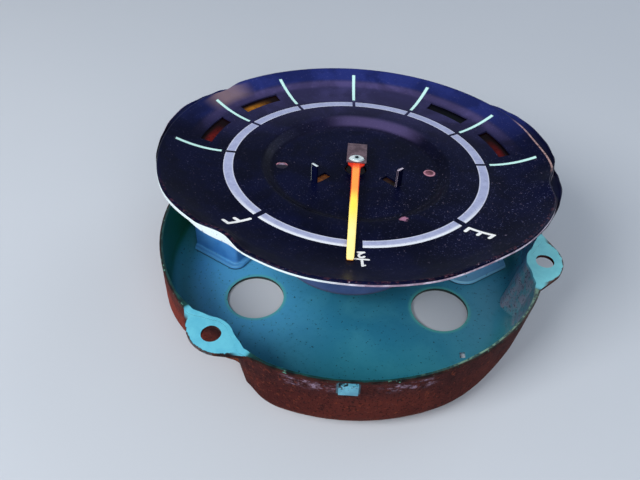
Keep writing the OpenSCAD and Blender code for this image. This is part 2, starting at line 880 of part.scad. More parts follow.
// Eye-shaped cap: two equal arcs that meet in points at the left and right
module hub_cap() {
    arc_r = (pow(cap_w / 2, 2) + pow(cap_depth / 2, 2)) / cap_depth;
    color("ivory")
    in_pointer() translate([0, 0, tail_top_z]) linear_extrude(cap_t) difference() {
        intersection_for(side = [-1, 1]) translate([0, side * (arc_r - cap_depth / 2)]) circle(r = arc_r);
        circle(r = spindle_d / 2);
    }
}

housing_can();
light_box_left();
light_box_right();
dial_plate();
dial_rivets();
filter_red_left();
filter_amber();
filter_green();
filter_red_right();
movement_plate();
movement_cup();
frame_pillars();
base_plate();
upper_bush();
lower_pivot_screw();
empty_coil_core();
full_coil_core();
empty_coil_bobbin();
full_coil_bobbin();
empty_coil_winding();
full_coil_winding();
core_screws();
terminal_board();
board_spacers();
resistor_card();
terminal_studs();
stud_insulators();
stud_washers();
stud_nuts();
spindle();
armature();
damper_disc();
hub_collet();
pointer_blade();
pointer_tail();
hub_cap();
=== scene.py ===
from math import asin, atan2, copysign, cos, degrees, hypot, pi, radians, sin, sqrt

import bmesh
import bpy
from mathutils import Matrix, Vector


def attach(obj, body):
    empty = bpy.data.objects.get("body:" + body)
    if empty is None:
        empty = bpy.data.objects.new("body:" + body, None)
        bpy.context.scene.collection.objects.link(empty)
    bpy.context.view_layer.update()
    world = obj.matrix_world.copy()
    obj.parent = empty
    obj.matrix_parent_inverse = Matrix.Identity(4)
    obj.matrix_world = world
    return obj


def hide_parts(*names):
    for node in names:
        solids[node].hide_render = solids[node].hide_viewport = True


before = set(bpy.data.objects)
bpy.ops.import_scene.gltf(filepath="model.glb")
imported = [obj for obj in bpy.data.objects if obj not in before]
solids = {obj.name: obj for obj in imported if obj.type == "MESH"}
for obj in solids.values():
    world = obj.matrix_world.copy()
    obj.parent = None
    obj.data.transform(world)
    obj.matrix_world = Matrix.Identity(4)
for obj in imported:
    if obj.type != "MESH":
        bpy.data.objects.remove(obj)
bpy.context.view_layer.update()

# ------------------------------
# The view. The gauge lies on a table and is looked at from close over its
# front edge, so the far side of the dial runs together quickly.


def add_object(name, data):
    """An object in the scene for a camera, a light or a mesh."""
    thing = bpy.data.objects.new(name, data)
    bpy.context.scene.collection.objects.link(thing)
    return thing


camera = add_object("camera", bpy.data.cameras.new("camera"))
camera.data.lens = 37.649
camera.data.sensor_width = 36
camera.data.clip_start = 0.005
camera.matrix_world = (
    Matrix.Translation((-0.0088988, -0.1402414, 0.1432683))
    @ Matrix.Rotation(pi / 2 - 0.749304, 4, "X")
    @ Matrix.Rotation(0.0354028, 4, "Z")
)
bpy.context.scene.camera = camera
bpy.context.scene.view_settings.view_transform = "Standard"

# ------------------------------
# Floor and light. A matt pale floor, a broad soft window light from the left
# front, a wider one from the front, a weak one from the right back, and a dim
# even room round them.


def shade(*tone):
    """A colour as the eye names it, 0 to 255, turned to the linear values that shaders use."""
    shares = [c / 255 for c in tone]
    return [c / 12.92 if c <= 0.04045 else ((c + 0.055) / 1.055) ** 2.4 for c in shares] + [1.0]


class Mix:
    """A shader tree being laid out. Each method adds a node, joins its inputs and returns its output."""

    def __init__(self, tree, shader=None):
        self.tree = tree
        self.shader = shader

    def lay(self, kind, inputs, out=0, **settings):
        node = self.tree.nodes.new("ShaderNode" + kind)
        for name, value in settings.items():
            setattr(node, name, value)
        for key, value in inputs.items():
            self.join(value, node.inputs[key])
        return node.outputs[out]

    def join(self, value, entry):
        """Joins another node's output to an input, or sets the input to a fixed value."""
        if isinstance(value, bpy.types.NodeSocket):
            self.tree.links.new(value, entry)
        else:
            entry.default_value = value

    def place(self):
        return self.lay("TexCoord", {}, "Object")

    def turned(self, spot, move=(0, 0, 0), turn=(0, 0, 0), stretch=(1, 1, 1)):
        return self.lay("Mapping", {"Vector": spot, "Location": move, "Rotation": turn, "Scale": stretch})

    def split(self, spot):
        parts = self.lay("SeparateXYZ", {0: spot}).node.outputs
        return parts[0], parts[1], parts[2]

    def sum(self, kind, a, b=0.0, c=0.0):
        inputs = {0: a, 1: b}
        if kind in ("MULTIPLY_ADD", "WRAP", "SMOOTH_MIN", "SMOOTH_MAX"):
            inputs[2] = c
        return self.lay("Math", inputs, operation=kind)

    def times(self, a, b):
        return self.sum("MULTIPLY", a, b)

    def plus(self, a, b):
        return self.sum("ADD", a, b)

    def minus(self, a, b):
        return self.sum("SUBTRACT", a, b)

    def size(self, a):
        return self.sum("ABSOLUTE", a)

    def vector(self, kind, a, b, out=0):
        return self.lay("VectorMath", {0: a, 1: b}, out, operation=kind)

    def unless(self, mask):
        """1 where the mask is 0, and 0 where it is 1."""
        return self.fade(mask, 1, 0)

    def fade(self, value, low, high, to_low=0.0, to_high=1.0):
        """Goes smoothly from to_low to to_high while value goes from low to high."""
        return self.lay(
            "MapRange",
            {"Value": value, "From Min": low, "From Max": high, "To Min": to_low, "To Max": to_high},
            interpolation_type="SMOOTHSTEP",
        )

    def joined(self, kind, masks):
        """Masks joined into one. Here and in over, coats and feed, a mask given as (value, low, high) is a fade."""
        result, *rest = [self.fade(*mask) if isinstance(mask, tuple) else mask for mask in masks]
        for mask in rest:
            result = self.sum(kind, result, mask)
        return result

    def both(self, *masks):
        return self.joined("MULTIPLY", masks)

    def either(self, *masks):
        return self.joined("MAXIMUM", masks)

    def over(self, mask, under, top):
        """Lays one colour over another where mask is 1. A fixed colour is given as the eye names it."""
        under, top = (c if isinstance(c, bpy.types.NodeSocket) else shade(*c) for c in (under, top))
        return self.lay("Mix", {0: self.both(mask), 6: under, 7: top}, 2, data_type="RGBA")

    def coats(self, colour, *coats):
        """Lays coats over a colour, one after the other. Each is (mask, colour) or (mask, colour, strength)."""
        for mask, top, *strength in coats:
            colour = self.over(self.both(mask, *strength), colour, top)
        return colour

    def cloud(self, spot, size, detail=4.0, rough=0.55, bend=0.0):
        """Soft noise whose blots are about size metres across."""
        return self.lay(
            "TexNoise", {"Vector": spot, "Scale": 1 / size, "Detail": detail, "Roughness": rough, "Distortion": bend}
        )

    def feed(self, colour, bump=None, **values):
        """Joins a colour, masks or fades, and a height to the shader. bump is (height, depth in metres)."""
        names = {"rough": "Roughness", "level": "Specular IOR Level"}
        self.join(colour, self.shader.inputs["Base Color"])
        for key, value in values.items():
            self.join(self.both(value), self.shader.inputs[names[key]])
        if bump:
            bumped = self.lay("Bump", {"Height": bump[0], "Distance": bump[1], "Strength": 1.0})
            self.join(bumped, self.shader.inputs["Normal"])


def new_finish(name, rough=0.5, metal=0.0, ior_level=0.5):
    """A material with one Principled shader, and its shader tree."""
    finish = bpy.data.materials.new(name)
    finish.use_nodes = True
    shader = finish.node_tree.nodes["Principled BSDF"]
    shader.inputs["Roughness"].default_value = rough
    shader.inputs["Metallic"].default_value = metal
    shader.inputs["Specular IOR Level"].default_value = ior_level
    return finish, Mix(finish.node_tree, shader)


def mesh_from(name, shape):
    """A mesh made of a bmesh, which it lets go."""
    mesh = bpy.data.meshes.new(name)
    shape.to_mesh(mesh)
    shape.free()
    return mesh


plane = bmesh.new()
bmesh.ops.create_grid(plane, x_segments=1, y_segments=1, size=8.0)
floor = add_object("floor", mesh_from("floor", plane))
floor_finish, mix = new_finish("floor_finish", 0.9)
spot = mix.place()
mix.feed(mix.over(mix.cloud(spot, 0.2), (196, 204, 214), (204, 210, 218)))
floor.data.materials.append(floor_finish)

for name, spot, aim, size, power, tone in (
    ("window", (-0.42, -0.30, 0.48), (0, 0, 0.03), 0.34, 3.6, (1.0, 0.98, 0.96)),
    ("front_fill", (0.10, -0.62, 0.42), (0, 0, 0.02), 0.60, 2.4, (0.94, 0.97, 1.0)),
    ("back_fill", (0.45, 0.40, 0.40), (0, 0, 0.03), 0.40, 0.8, (0.88, 0.92, 1.0)),
):
    lamp = add_object(name, bpy.data.lights.new(name, "AREA"))
    lamp.data.size = size
    lamp.data.energy = power
    lamp.data.color = tone
    lamp.location = spot
    lamp.rotation_euler = (Vector(aim) - Vector(spot)).to_track_quat("-Z", "Y").to_euler()
room = bpy.data.worlds.new("room")
bpy.context.scene.world = room
room.use_nodes = True
room.node_tree.nodes["Background"].inputs["Color"].default_value = (0.80, 0.88, 1.0, 1)
room.node_tree.nodes["Background"].inputs["Strength"].default_value = 0.28

# ------------------------------
# The housing can: a shallow pressed steel pan with three screw ears and lamp
# holes. Turquoise stove enamel inside and on the ears, bare and rusting
# outside, with the enamel chipped along its rim.
CAN_H = 0.019
EAR_ANGLES = (230, 347, 141)
EAR_HOLE_AT = 0.0527
EAR_LOBE_AT = 0.0480
EAR_LOBE_R = 0.0095
LAMPS_AT = ((-0.026676, -0.011877, 0.0009), (0.025539, -0.014156, 0.0009))


def new_group(name, places, numbers, masks):
    """A shader tree for use in many finishes: how it is laid out, what it is given and what it gives."""
    tree = bpy.data.node_groups.new(name, "ShaderNodeTree")
    for names, way, kind in ((places, "INPUT", "Vector"), (numbers, "INPUT", "Float"), (masks, "OUTPUT", "Float")):
        for socket in names:
            tree.interface.new_socket(socket, in_out=way, socket_type="NodeSocket" + kind)
    return Mix(tree), tree.nodes.new("NodeGroupInput").outputs, tree.nodes.new("NodeGroupOutput").inputs


# Shared by every old finish here: soft patches, small round specks, fine scratches and grain.
AGE_MASKS = ("Patches", "Specks", "Scratches", "Grain")
mix, entry, leave = new_group("age", ("Place",), ("Patch Scale", "Speck Scale", "Speck Share"), AGE_MASKS)
age_tree = mix.tree
blots = {"Scale": entry["Patch Scale"], "Detail": 5.0, "Roughness": 0.6, "Distortion": 0.4}
patches = mix.lay("TexNoise", {"Vector": entry["Place"], **blots})
mix.join(mix.fade(patches, 0.36, 0.66), leave["Patches"])
dots = mix.lay("TexNoise", {"Vector": entry["Place"], "Scale": entry["Speck Scale"], "Detail": 2.0, "Roughness": 0.6})
limit = mix.sum("MULTIPLY_ADD", entry["Speck Share"], -0.20, 0.76)
mix.join(mix.fade(mix.minus(dots, limit), 0.0, 0.03), leave["Specks"])
lines = []
for turn, seed in ((0.5, 0.0), (2.1, 0.3), (1.3, 0.7)):
    run = mix.turned(entry["Place"], (seed, seed, 0), (0.2, 0.15, turn), (260, 9000, 9000))
    line = mix.lay("TexNoise", {"Vector": run, "Scale": 1.0, "Detail": 1.0, "Roughness": 0.4})
    lines.append(mix.fade(line, 0.735, 0.80))
mix.join(mix.either(*lines), leave["Scratches"])
grain = mix.lay("TexNoise", {"Vector": entry["Place"], "Scale": 2600.0, "Detail": 3.0, "Roughness": 0.65})
mix.join(grain, leave["Grain"])


def worn(mix, spot, patch=0.010, speck=0.0012, share=0.3):
    """The age group placed in a material: its patches, specks, scratches and grain."""
    values = {"Place": spot, "Patch Scale": 1 / patch, "Speck Scale": 1 / speck, "Speck Share": share}
    node = mix.lay("Group", values, node_tree=age_tree).node
    return [node.outputs[name] for name in AGE_MASKS]


def direction(turn):
    """A level direction, given in degrees, as a vector."""
    return Vector((cos(radians(turn)), sin(radians(turn)), 0))


can_finish, mix = new_finish("can_finish", 0.42)
spot = mix.place()
x, y, z = mix.split(spot)
normal = mix.lay("NewGeometry", {}, "Normal")
nx, ny, nz = mix.split(normal)
reach = mix.sum("SQRT", mix.plus(mix.times(x, x), mix.times(y, y)))
angle = mix.sum("ARCTAN2", y, x)
away = mix.sum("DIVIDE", mix.plus(mix.both(nx, x), mix.both(ny, y)), reach)

# Beside an ear the wall bends in round the screw hole: its outer skin is the one that faces the hole.
facing = away
wall_zone = mix.either((reach, 0.0490, 0.0500), (z, 0.0010, 0.0014))
lobes = []
plan = mix.vector("MULTIPLY", spot, (1, 1, 0))
for ear in EAR_ANGLES:
    aim = direction(ear)
    to_hole = mix.vector("SUBTRACT", tuple(aim * EAR_HOLE_AT), plan)
    apart = mix.lay("VectorMath", {0: to_hole}, "Value", operation="LENGTH")
    toward = mix.sum("DIVIDE", mix.vector("DOT_PRODUCT", normal, to_hole, "Value"), apart)
    near = mix.fade(mix.sum("MULTIPLY_ADD", z, 0.21, apart), 0.0100, 0.0092)
    facing = mix.plus(mix.both(facing, mix.unless(near)), mix.both(toward, near))
    wall_zone = mix.either(wall_zone, near)
    lobes.append(mix.vector("DISTANCE", plan, tuple(aim * EAR_LOBE_AT), "Value"))
outside = mix.both((mix.minus(facing, nz), -0.1, 0.3), wall_zone)
outside = mix.either(outside, (nz, -0.3, -0.7))
patches, specks, scratches, grain = worn(mix, spot, 0.014, 0.0008, 0.50)
fine_patches, rust_specks, _, _ = worn(mix, spot, 0.0030, 0.0006, 0.9)
ragged = mix.cloud(spot, 0.0016, 4.0, 0.7)


def beam(at, wide, full):
    """1 in the direction at and up to full degrees beside it, 0 beyond wide degrees."""
    off = mix.sum("COSINE", mix.minus(angle, radians(at)))
    return mix.fade(off, cos(radians(wide)), cos(radians(full)))


ears = mix.either(*[beam(ear, 13, 10.5) for ear in EAR_ANGLES])

# Inside: enamel, greener round the foot of the wall, with a brown film on the wall at the right. The floor is painted
# lighter and bluer at the left and lighter at the right: painted light where the dial shades it.
enamel = mix.coats(
    mix.over(patches, (42, 124, 158), (58, 140, 168)),
    ((x, 0.0, -0.036, 0.0, 0.9), (92, 184, 238)),
    ((x, 0.018, 0.044, 0.0, 0.7), (84, 172, 204)),
    ((reach, 0.0425, 0.0500, 0.0, 0.8), (40, 122, 124)),
)
# The wall at the left is painted darker as painted shade, and the wall at the right lighter as painted light.
upright = mix.fade(nz, 0.85, 0.25)
shaded_left_wall = mix.both(upright, (mix.sum("COSINE", angle), -0.55, -0.90))
lit_right_wall = mix.both(upright, (mix.sum("COSINE", mix.minus(angle, 0.25)), 0.94, 0.98))
enamel = mix.coats(
    enamel,
    (shaded_left_wall, (24, 102, 78)),
    (lit_right_wall, (112, 204, 214)),
    ((y, -0.018, -0.044, 0.0, 0.55), (40, 138, 148)),
)
film_edge = mix.sum("MULTIPLY_ADD", mix.minus(ragged, 0.5), 0.25, mix.sum("COSINE", mix.plus(angle, 0.38)))
film = mix.both(upright, (film_edge, 0.82, 0.97))
mottle = mix.fade(mix.plus(ragged, mix.times(fine_patches, 0.3)), 0.46, 0.78, 0.12, 1.0)
# Where the film lies, the wall is first painted a lighter teal as painted light, and the mottled brown-grey film lies
# over that.
enamel = mix.coats(
    enamel,
    (film, (96, 176, 190), 0.7),
    (mix.both(film, mottle), (156, 158, 178)),
    (mix.both(film, (mix.cloud(spot, 0.0007, 3.0, 0.7), 0.56, 0.64)), (70, 62, 74)),
    (specks, (14, 46, 56), 0.8),
    (mix.fade(ragged, 0.5, 0.75), (20, 96, 104), 0.22),
)

# The lamp holes' edges are dressed thin and shine through the enamel as a paler, greener line.
to_lamps = [mix.vector("DISTANCE", spot, at, "Value") for at in LAMPS_AT]
lamp_rim = mix.both((mix.sum("MINIMUM", *to_lamps), 0.0092, 0.0082), (z, 0.0011, 0.0010))
enamel = mix.coats(
    enamel,
    (lamp_rim, (96, 190, 170), 0.55),
    (mix.both(lamp_rim, (nz, 0.7, 0.4)), (26, 44, 40)),
)
# The tops of the ears are painted lighter than the enamel inside, and the right ear lighter still: painted light on
# faces turned up to the light.
top = mix.both((z, 0.0179, 0.0186), (nz, 0.0, 0.3), ears)
enamel = mix.coats(
    enamel,
    (top, mix.over(fine_patches, (100, 196, 224), (112, 208, 232))),
    (mix.both(top, (x, 0.030, 0.050)), mix.over(fine_patches, (120, 222, 236), (132, 232, 244))),
)

# Outside: dark red-brown rust, finely speckled, lighter along the floor, with pale rubbed streaks below the rim.
rust = mix.coats(
    mix.over(patches, (62, 22, 20), (80, 32, 26)),
    ((x, -0.030, -0.050, 0.0, 0.75), mix.over(patches, (138, 52, 38), (156, 66, 48))),
    ((z, 0.0050, 0.0010, 0.0, 0.8), mix.over(fine_patches, (112, 48, 26), (136, 66, 34))),
    ((z, 0.0110, 0.0150, 0.0, 0.7), mix.over(fine_patches, (42, 18, 20), (64, 28, 28))),
    (rust_specks, (24, 8, 10), 0.7),
)
bloom = mix.fade(mix.cloud(mix.turned(spot, (0.2, 0.1, 0.3)), 0.0011, 4.0, 0.75), 0.55, 0.70)
rust = mix.over(mix.times(bloom, 0.5), rust, (134, 62, 38))
streak = mix.cloud(mix.turned(spot, stretch=(1, 1, 2.2)), 0.0026, 4.0, 0.75)
rubbed = mix.either(beam(259, 9, 3), beam(284, 9, 3))
scrape = mix.both((streak, 0.46, 0.60), (z, 0.0142, 0.0162), (z, 0.0184, 0.0176), rubbed)
rust = mix.coats(
    rust,
    (mix.both(scrape, (ragged, 0.40, 0.62, 0.15, 0.8)), (150, 130, 152)),
    (scratches, (140, 106, 104), 0.25),
)

# The folded tab keeps its enamel. Along the rim the enamel is chipped back to dark, rusty steel.
tab = mix.both(beam(268.5, degrees(0.055), degrees(0.046)), (reach, 0.0529, 0.0532), (z, 0.0145, 0.0152))
outside = mix.both(outside, mix.unless(tab))
rim = mix.both((z, 0.0184, 0.0187), (mix.sum("MULTIPLY_ADD", ragged, 0.0008, reach), 0.0529, 0.0531))
rim = mix.both(rim, (mix.sum("MULTIPLY_ADD", ragged, 0.5, ears), 0.9, 0.5))
nibbled = mix.both(ears, (nz, 0.6, 0.2), (z, 0.0176, 0.0181), (away, -0.1, 0.2))
lobe = mix.sum("MINIMUM", mix.sum("MINIMUM", lobes[0], lobes[1]), lobes[2])
outer_lip = mix.fade(mix.sum("MULTIPLY_ADD", ragged, 0.0014, lobe), EAR_LOBE_R + 0.00035, EAR_LOBE_R + 0.0006)
outer_lip = mix.both(outer_lip, (z, 0.0172, 0.0181), (reach, 0.0530, 0.0545), ears)
bend = mix.both(ears, (nz, 0.97, 0.90), (nz, 0.2, 0.4), (z, 0.0172, 0.0178), (away, 0.0, -0.2))
bend = mix.both(bend, (ragged, 0.64, 0.68), (x, 0.0, -0.026))
# Along the rim's rounded edge the enamel is dark at the left. Toward the right a pale line is painted along it as a
# painted highlight.
shy = mix.both((z, 0.0184, 0.0188), (ears, 0.6, 0.1), (nz, 0.4, 0.8))
dark_lip = mix.over(fine_patches, (12, 40, 42), (24, 74, 74))
lip_highlight = mix.over((ragged, 0.42, 0.60), (40, 70, 70), (118, 154, 134))
enamel = mix.over(shy, enamel, mix.over((x, 0.008, 0.030), dark_lip, lip_highlight))
colour = mix.coats(
    mix.over(outside, enamel, rust),
    (mix.both(nibbled, (ragged, 0.45, 0.6)), (52, 30, 26)),
    (mix.either(outer_lip, bend), mix.over(fine_patches, (30, 20, 22), (78, 44, 36))),
    (tab, mix.over(fine_patches, (80, 152, 178), (96, 170, 192))),
)
chips = mix.both(tab, (mix.sum("MULTIPLY_ADD", z, 60.0, ragged), 1.62, 1.68))
colour = mix.over(chips, colour, (22, 26, 30))
rim_colour = mix.over(fine_patches, (20, 14, 16), (58, 34, 28))
rim_colour = mix.over((ragged, 0.60, 0.68), rim_colour, (100, 168, 150))
colour = mix.over(mix.both(rim, mix.unless(tab)), colour, rim_colour)
mix.feed(
    colour,
    rough=(mix.plus(outside, mix.times(grain, 0.2)), 0.0, 1.1, 0.36, 0.85),
    level=(outside, 0, 1, 0.45, 0.12),
    bump=(mix.plus(mix.both(outside, mix.plus(rust_specks, bloom)), mix.times(grain, 0.4)), 0.00006),
)


def dress(node, finish):
    """Gives a solid of the frame its finish."""
    for slot in solids[node].material_slots:
        slot.material = finish


def polar(spot):
    """How far a place is from the axis, and in which direction in degrees."""
    return hypot(spot.x, spot.y), degrees(atan2(spot.y, spot.x)) % 360


def bell(turn, middle, half):
    """1 in the direction middle, falling smoothly to 0 at half degrees from it."""
    off = abs((turn - middle + 180) % 360 - 180)
    return 0.5 + 0.5 * cos(pi * min(off / half, 1))


def ramp(turn, start, end):
    """0 before start, rising smoothly to 1 at end."""
    t = min(max((turn - start) / (end - start), 0), 1)
    return t * t * (3 - 2 * t)


def tuck(turn):
    """How far the foot of the wall stands in from its top, in metres: the press draws it in under two of the ears."""
    drawn_in = 0.0038 * bell(turn, 231, 31 if turn < 231 else 20) + 0.0008 * bell(turn, 240, 6)
    return drawn_in + 0.0034 * bell(turn, 347, 25) + 0.0022 * bell(turn, 322, 28)


def shoulders(turn):
    """How far the rim's bend stands in beside those two ears, in metres, so that they are long and lens shaped."""
    return 0.0014 * max(bell(turn, at, 9.5) for at in (220.5, 239.5, 337.5, 356.5))


def cut_across(shape, faces, at, way, same_spot=0.0001):
    """Cuts faces of a shape where they cross a plane, and returns what they have become."""
    geom = set(faces)
    for face in faces:
        geom.update(face.edges)
        geom.update(face.verts)
    return bmesh.ops.bisect_plane(shape, geom=list(geom), dist=same_spot, plane_co=at, plane_no=way)["geom"]


# The wall is cut into narrow sectors at the front and the right, and drawn in there below the bend to the rim.
FLOOR_TO, WALL_FROM = 0.038, 0.042
DRAWN_UP_TO = 0.0172
DRAWN_SECTORS = range(205, 376, 3)
SAME_SPOT = 0.000002
can = bmesh.new()
can.from_mesh(solids["housing_can"].data)
bmesh.ops.remove_doubles(can, verts=can.verts[:], dist=SAME_SPOT)
for step in DRAWN_SECTORS:
    line = direction(step)
    middles = [(face, face.calc_center_median()) for face in can.faces]
    near = [face for face, spot in middles if spot.normalized().dot(line) > 0.9 and spot.length > WALL_FROM]
    cut_across(can, near, (0, 0, 0), line.cross((0, 0, 1)), SAME_SPOT)
for vert in can.verts:
    r, turn = polar(vert.co)
    if r > FLOOR_TO:
        low = min(max((DRAWN_UP_TO - vert.co.z) / DRAWN_UP_TO, 0), 1)
        inward = tuck(turn) * low * ramp(r, FLOOR_TO, 0.0455)
        inward += shoulders(turn) * ramp(r, 0.044, 0.047) * ramp(-r, -0.0532, -0.0512)
        share = 1 - inward / r
        vert.co.x, vert.co.y = vert.co.x * share, vert.co.y * share
bmesh.ops.triangulate(can, faces=can.faces[:])
can_mesh = mesh_from("can_pressing", can)
can_pressing = add_object("can_pressing", can_mesh)
can_mesh.materials.append(can_finish)
can_mesh.shade_smooth()
can_mesh.set_sharp_from_angle(angle=radians(30))
flat_sides = {}
for face in can_mesh.polygons:
    if face.normal.z > 0.9999 and face.center.z > CAN_H - 0.0001:
        for key in face.edge_keys:
            flat_sides[key] = flat_sides.get(key, 0) + 1
for edge in can_mesh.edges:
    if flat_sides.get(edge.key) == 1:
        edge.use_edge_sharp = True
even = can_pressing.modifiers.new("even_shading", "WEIGHTED_NORMAL")
even.weight = 90
even.keep_sharp = True
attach(can_pressing, "can")
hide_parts("housing_can")

# ------------------------------
# Two light boxes: folded sheet boxes open above and below, spot welded to the
# can's floor by a foot flange. They keep stray lamp light from the windows
# of their neighbours, and are sprayed a paler blue than the can.
box_finish, mix = new_finish("box_finish", 0.38)
spot = mix.place()
x, y, z = mix.split(spot)
patches, specks, scratches, grain = worn(mix, spot, 0.009, 0.0014, 0.2)
# The foot flange is painted lighter, and the right box's much lighter, as painted light on its rounded bead. Along
# its lowest edge a dark blue line is painted shadow where it meets the floor.
colour = mix.coats(
    mix.over(patches, (56, 126, 200), (74, 144, 212)),
    ((z, 0.0024, 0.0020), mix.over((x, 0.0, 0.01), (92, 170, 226), (140, 208, 240))),
    ((z, 0.00155, 0.00120), (10, 36, 74)),
    (specks, (34, 74, 104), 0.6),
    (scratches, (160, 204, 222), 0.4),
)
mix.feed(colour, rough=(patches, 0.0, 1.0, 0.32, 0.45), bump=(mix.plus(grain, mix.times(specks, -0.6)), 0.00004))
MM = 0.001


def set_up(shape, name, finishes, body, node, place, smooth=35):
    """Makes a piece from a bmesh in millimetres, puts it in its place and hands it to the frame."""
    bmesh.ops.scale(shape, verts=shape.verts[:], vec=(MM, MM, MM))
    bmesh.ops.transform(shape, matrix=place, verts=shape.verts[:])
    mesh = mesh_from(name, shape)
    piece = add_object(name, mesh)
    for finish in finishes:
        mesh.materials.append(finish)
    mesh.shade_smooth()
    mesh.set_sharp_from_angle(angle=radians(smooth))
    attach(piece, body)
    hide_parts(node)


def add_part(target, part):
    """Adds one bmesh to another, and lets the first go."""
    mesh = mesh_from("part", part)
    target.from_mesh(mesh)
    bpy.data.meshes.remove(mesh)


def block(low, high):
    """A plain block between two corners."""
    shape = bmesh.new()
    bmesh.ops.create_cube(shape, size=1)
    bmesh.ops.scale(shape, verts=shape.verts[:], vec=[b - a for a, b in zip(low, high)])
    bmesh.ops.translate(shape, verts=shape.verts[:], vec=[(a + b) / 2 for a, b in zip(low, high)])
    return shape


def round_off(shape, edges, radius, segments):
    """Rounds edges of a shape."""
    settings = {"offset_type": "OFFSET", "profile": 0.5, "affect": "EDGES", "material": -1}
    bmesh.ops.bevel(shape, geom=edges, offset=radius, segments=segments, **settings)


def face_outward(shape):
    """Turns the faces of a closed shape outward."""
    bmesh.ops.recalc_face_normals(shape, faces=shape.faces[:])


def rounded_block(low, high, radius, segments=3):
    """A block between two corners, its edges rounded."""
    shape = block(low, high)
    round_off(shape, shape.edges[:], radius, segments)
    face_outward(shape)
    return shape


BOX_IN, BOX_HALF, BOX_OUT, BOX_LOW, BOX_TOP = 28.054, 18.2, 47.2, 0.9, 13.9


def box_outline(grow, outer):
    """The box's plan, grown by a margin on its three straight sides: square at the can's wall, rounded within."""
    round_r = 1.15 + grow
    half, inner = BOX_HALF + grow, BOX_IN - grow
    end = sqrt(outer**2 - half**2)
    points = [(end + (inner + round_r - end) * k / 5, half) for k in range(5)]
    points += [
        (inner + round_r - round_r * sin(radians(t)), half - round_r + round_r * cos(radians(t)))
        for t in range(0, 91, 10)
    ]
    points += [(u, -v) for u, v in reversed(points)]
    sweep = asin(half / outer)
    return points + [(outer * cos(a), outer * sin(a)) for a in (sweep * (k / 12 - 1) for k in range(1, 24))]


for node, turn, foot_w in (("light_box_left", 147, 1.95), ("light_box_right", 33, 5.0)):
    box = bmesh.new()
    rings = []
    foot_edge = ((-0.1, 0.9), (-0.02, 1.15), (0, 1.5), (-0.1, 1.85), (-0.35, 2.1), (-0.65, 2.12), (-1.0, 1.92))
    wall = ((0.5, 1.9), (0.2, 2.25), (0, 2.8), (0, 13.65))
    hem = ((0.12, 13.84), (0.4, 13.9), (0.68, 13.84), (0.8, 13.65), (0.8, 0.9))
    box_section = [(foot_w + off, z, 0) for off, z in foot_edge] + [(off, z, 0) for off, z in wall]
    box_section += [(-off, z, off) for off, z in hem]
    for grow, z, inset in box_section:
        ring = [box.verts.new((u, v, z)) for u, v in box_outline(grow, BOX_OUT - inset)]
        rings.append([box.edges.new((a, b)) for a, b in zip(ring, ring[1:] + ring[:1])])
    for a, b in zip(rings, rings[1:] + rings[:1]):
        bmesh.ops.bridge_loops(box, edges=a + b)
    face_outward(box)
    add_part(box, rounded_block((BOX_IN + 0.4, -0.4, BOX_LOW), (BOX_OUT - 0.4, 0.4, BOX_TOP - 1), 0.12, 2))
    set_up(box, node + "_sheet", [box_finish], "can", node, Matrix.Rotation(radians(turn), 4, "Z"))

# ------------------------------
# The dial: one pressing of thin steel, pierced and then dished, with a cove up
# to a hemmed rim that dips past each screw ear, and two lanced tabs that stop
# the pointer. Satin black, its scale printed in grey, pale green and white.
UNIT = Vector((0.00001307, 0.00425942, 0.03698518))
LEAN = radians(4.3)
LEAN_TOWARD = radians(73)
into_can = Matrix.Translation(UNIT) @ Matrix.Rotation(LEAN, 4, Vector((-sin(LEAN_TOWARD), cos(LEAN_TOWARD), 0)))
DIAL_R = 51.7
HEM_W = 1.3
FLAT_TO = 36
COVE_FOOT = 44.2
RECESS = -1.7
SHEET = 0.6
WINDOW_IN, WINDOW_OUT = 40.0, 43.2
WINDOWS = (161.0, 132.6, 47.4, 19.0)
WINDOW_HALF = 9
STEPS_ROUND = 480
CUT_EDGE = 2.6


def rim_radius(turn):
    """How far the rim reaches in the direction turn, in degrees: it dips in, deep past one ear, shallow past two."""
    edge = DIAL_R - 0.55 * ramp(turn, 205, 225) * ramp(-turn, -336, -318)
    edge -= 1.6 * bell(turn, 230, 30) + 1.6 * bell(turn, 230.3, 9.5) + 0.75 * bell(turn, 304, 18)
    return edge - 1.8 * bell(turn, 349, 10) - 1.5 * bell(turn, 141, 9) - 0.5 * bell(turn, 12, 12)


def skirt_low(turn):
    """Height of the rim's cut edge: a bare roll in front, deeper behind and in the deep dip."""
    low = 2.4 + 0.5 * ramp(turn, 180, 200) * ramp(-turn, -345, -325)
    return low - 1.85 * bell(turn, 228.5, 10.5) - 0.4 * bell(turn, 212, 20)


def cove(r):
    """Height of the sheet where it rises from the flat scale band."""
    return 0.0165 * (r - FLAT_TO) ** 2


def profile_points():
    """The sheet's section from the hole in its middle to its cut edge, as (radius, height)."""
    points = [(2.9, RECESS), (6, RECESS), (11, RECESS), (16, RECESS), (20.5, RECESS)]
    for k in range(9):
        points.append((22.2 + 3.3 * k / 8, RECESS * (1 + cos(pi * k / 8)) / 2))
    points += [(28.5, 0), (31.5, 0), (34.5, 0), (FLAT_TO, 0)]
    for r in (37.4, 38.7, WINDOW_IN, 41.6, WINDOW_OUT, COVE_FOOT, 45, 46, 47, 48, 49, 49.8, 50.4):
        points.append((r, cove(r)))
    for t in (112, 92, 72, 50, 28, 0):
        points.append((51.05 + 0.65 * cos(radians(t)), 3.05 + 0.65 * sin(radians(t))))
    return points + [(DIAL_R, CUT_EDGE)]


def outline_of(points, closed):
    """A shape that is so far only a chain of edges through points given as (radius, height)."""
    shape = bmesh.new()
    chain = [shape.verts.new((r, 0, z)) for r, z in points]
    for a, b in zip(chain, chain[1:] + (chain[:1] if closed else [])):
        shape.edges.new((a, b))
    return shape


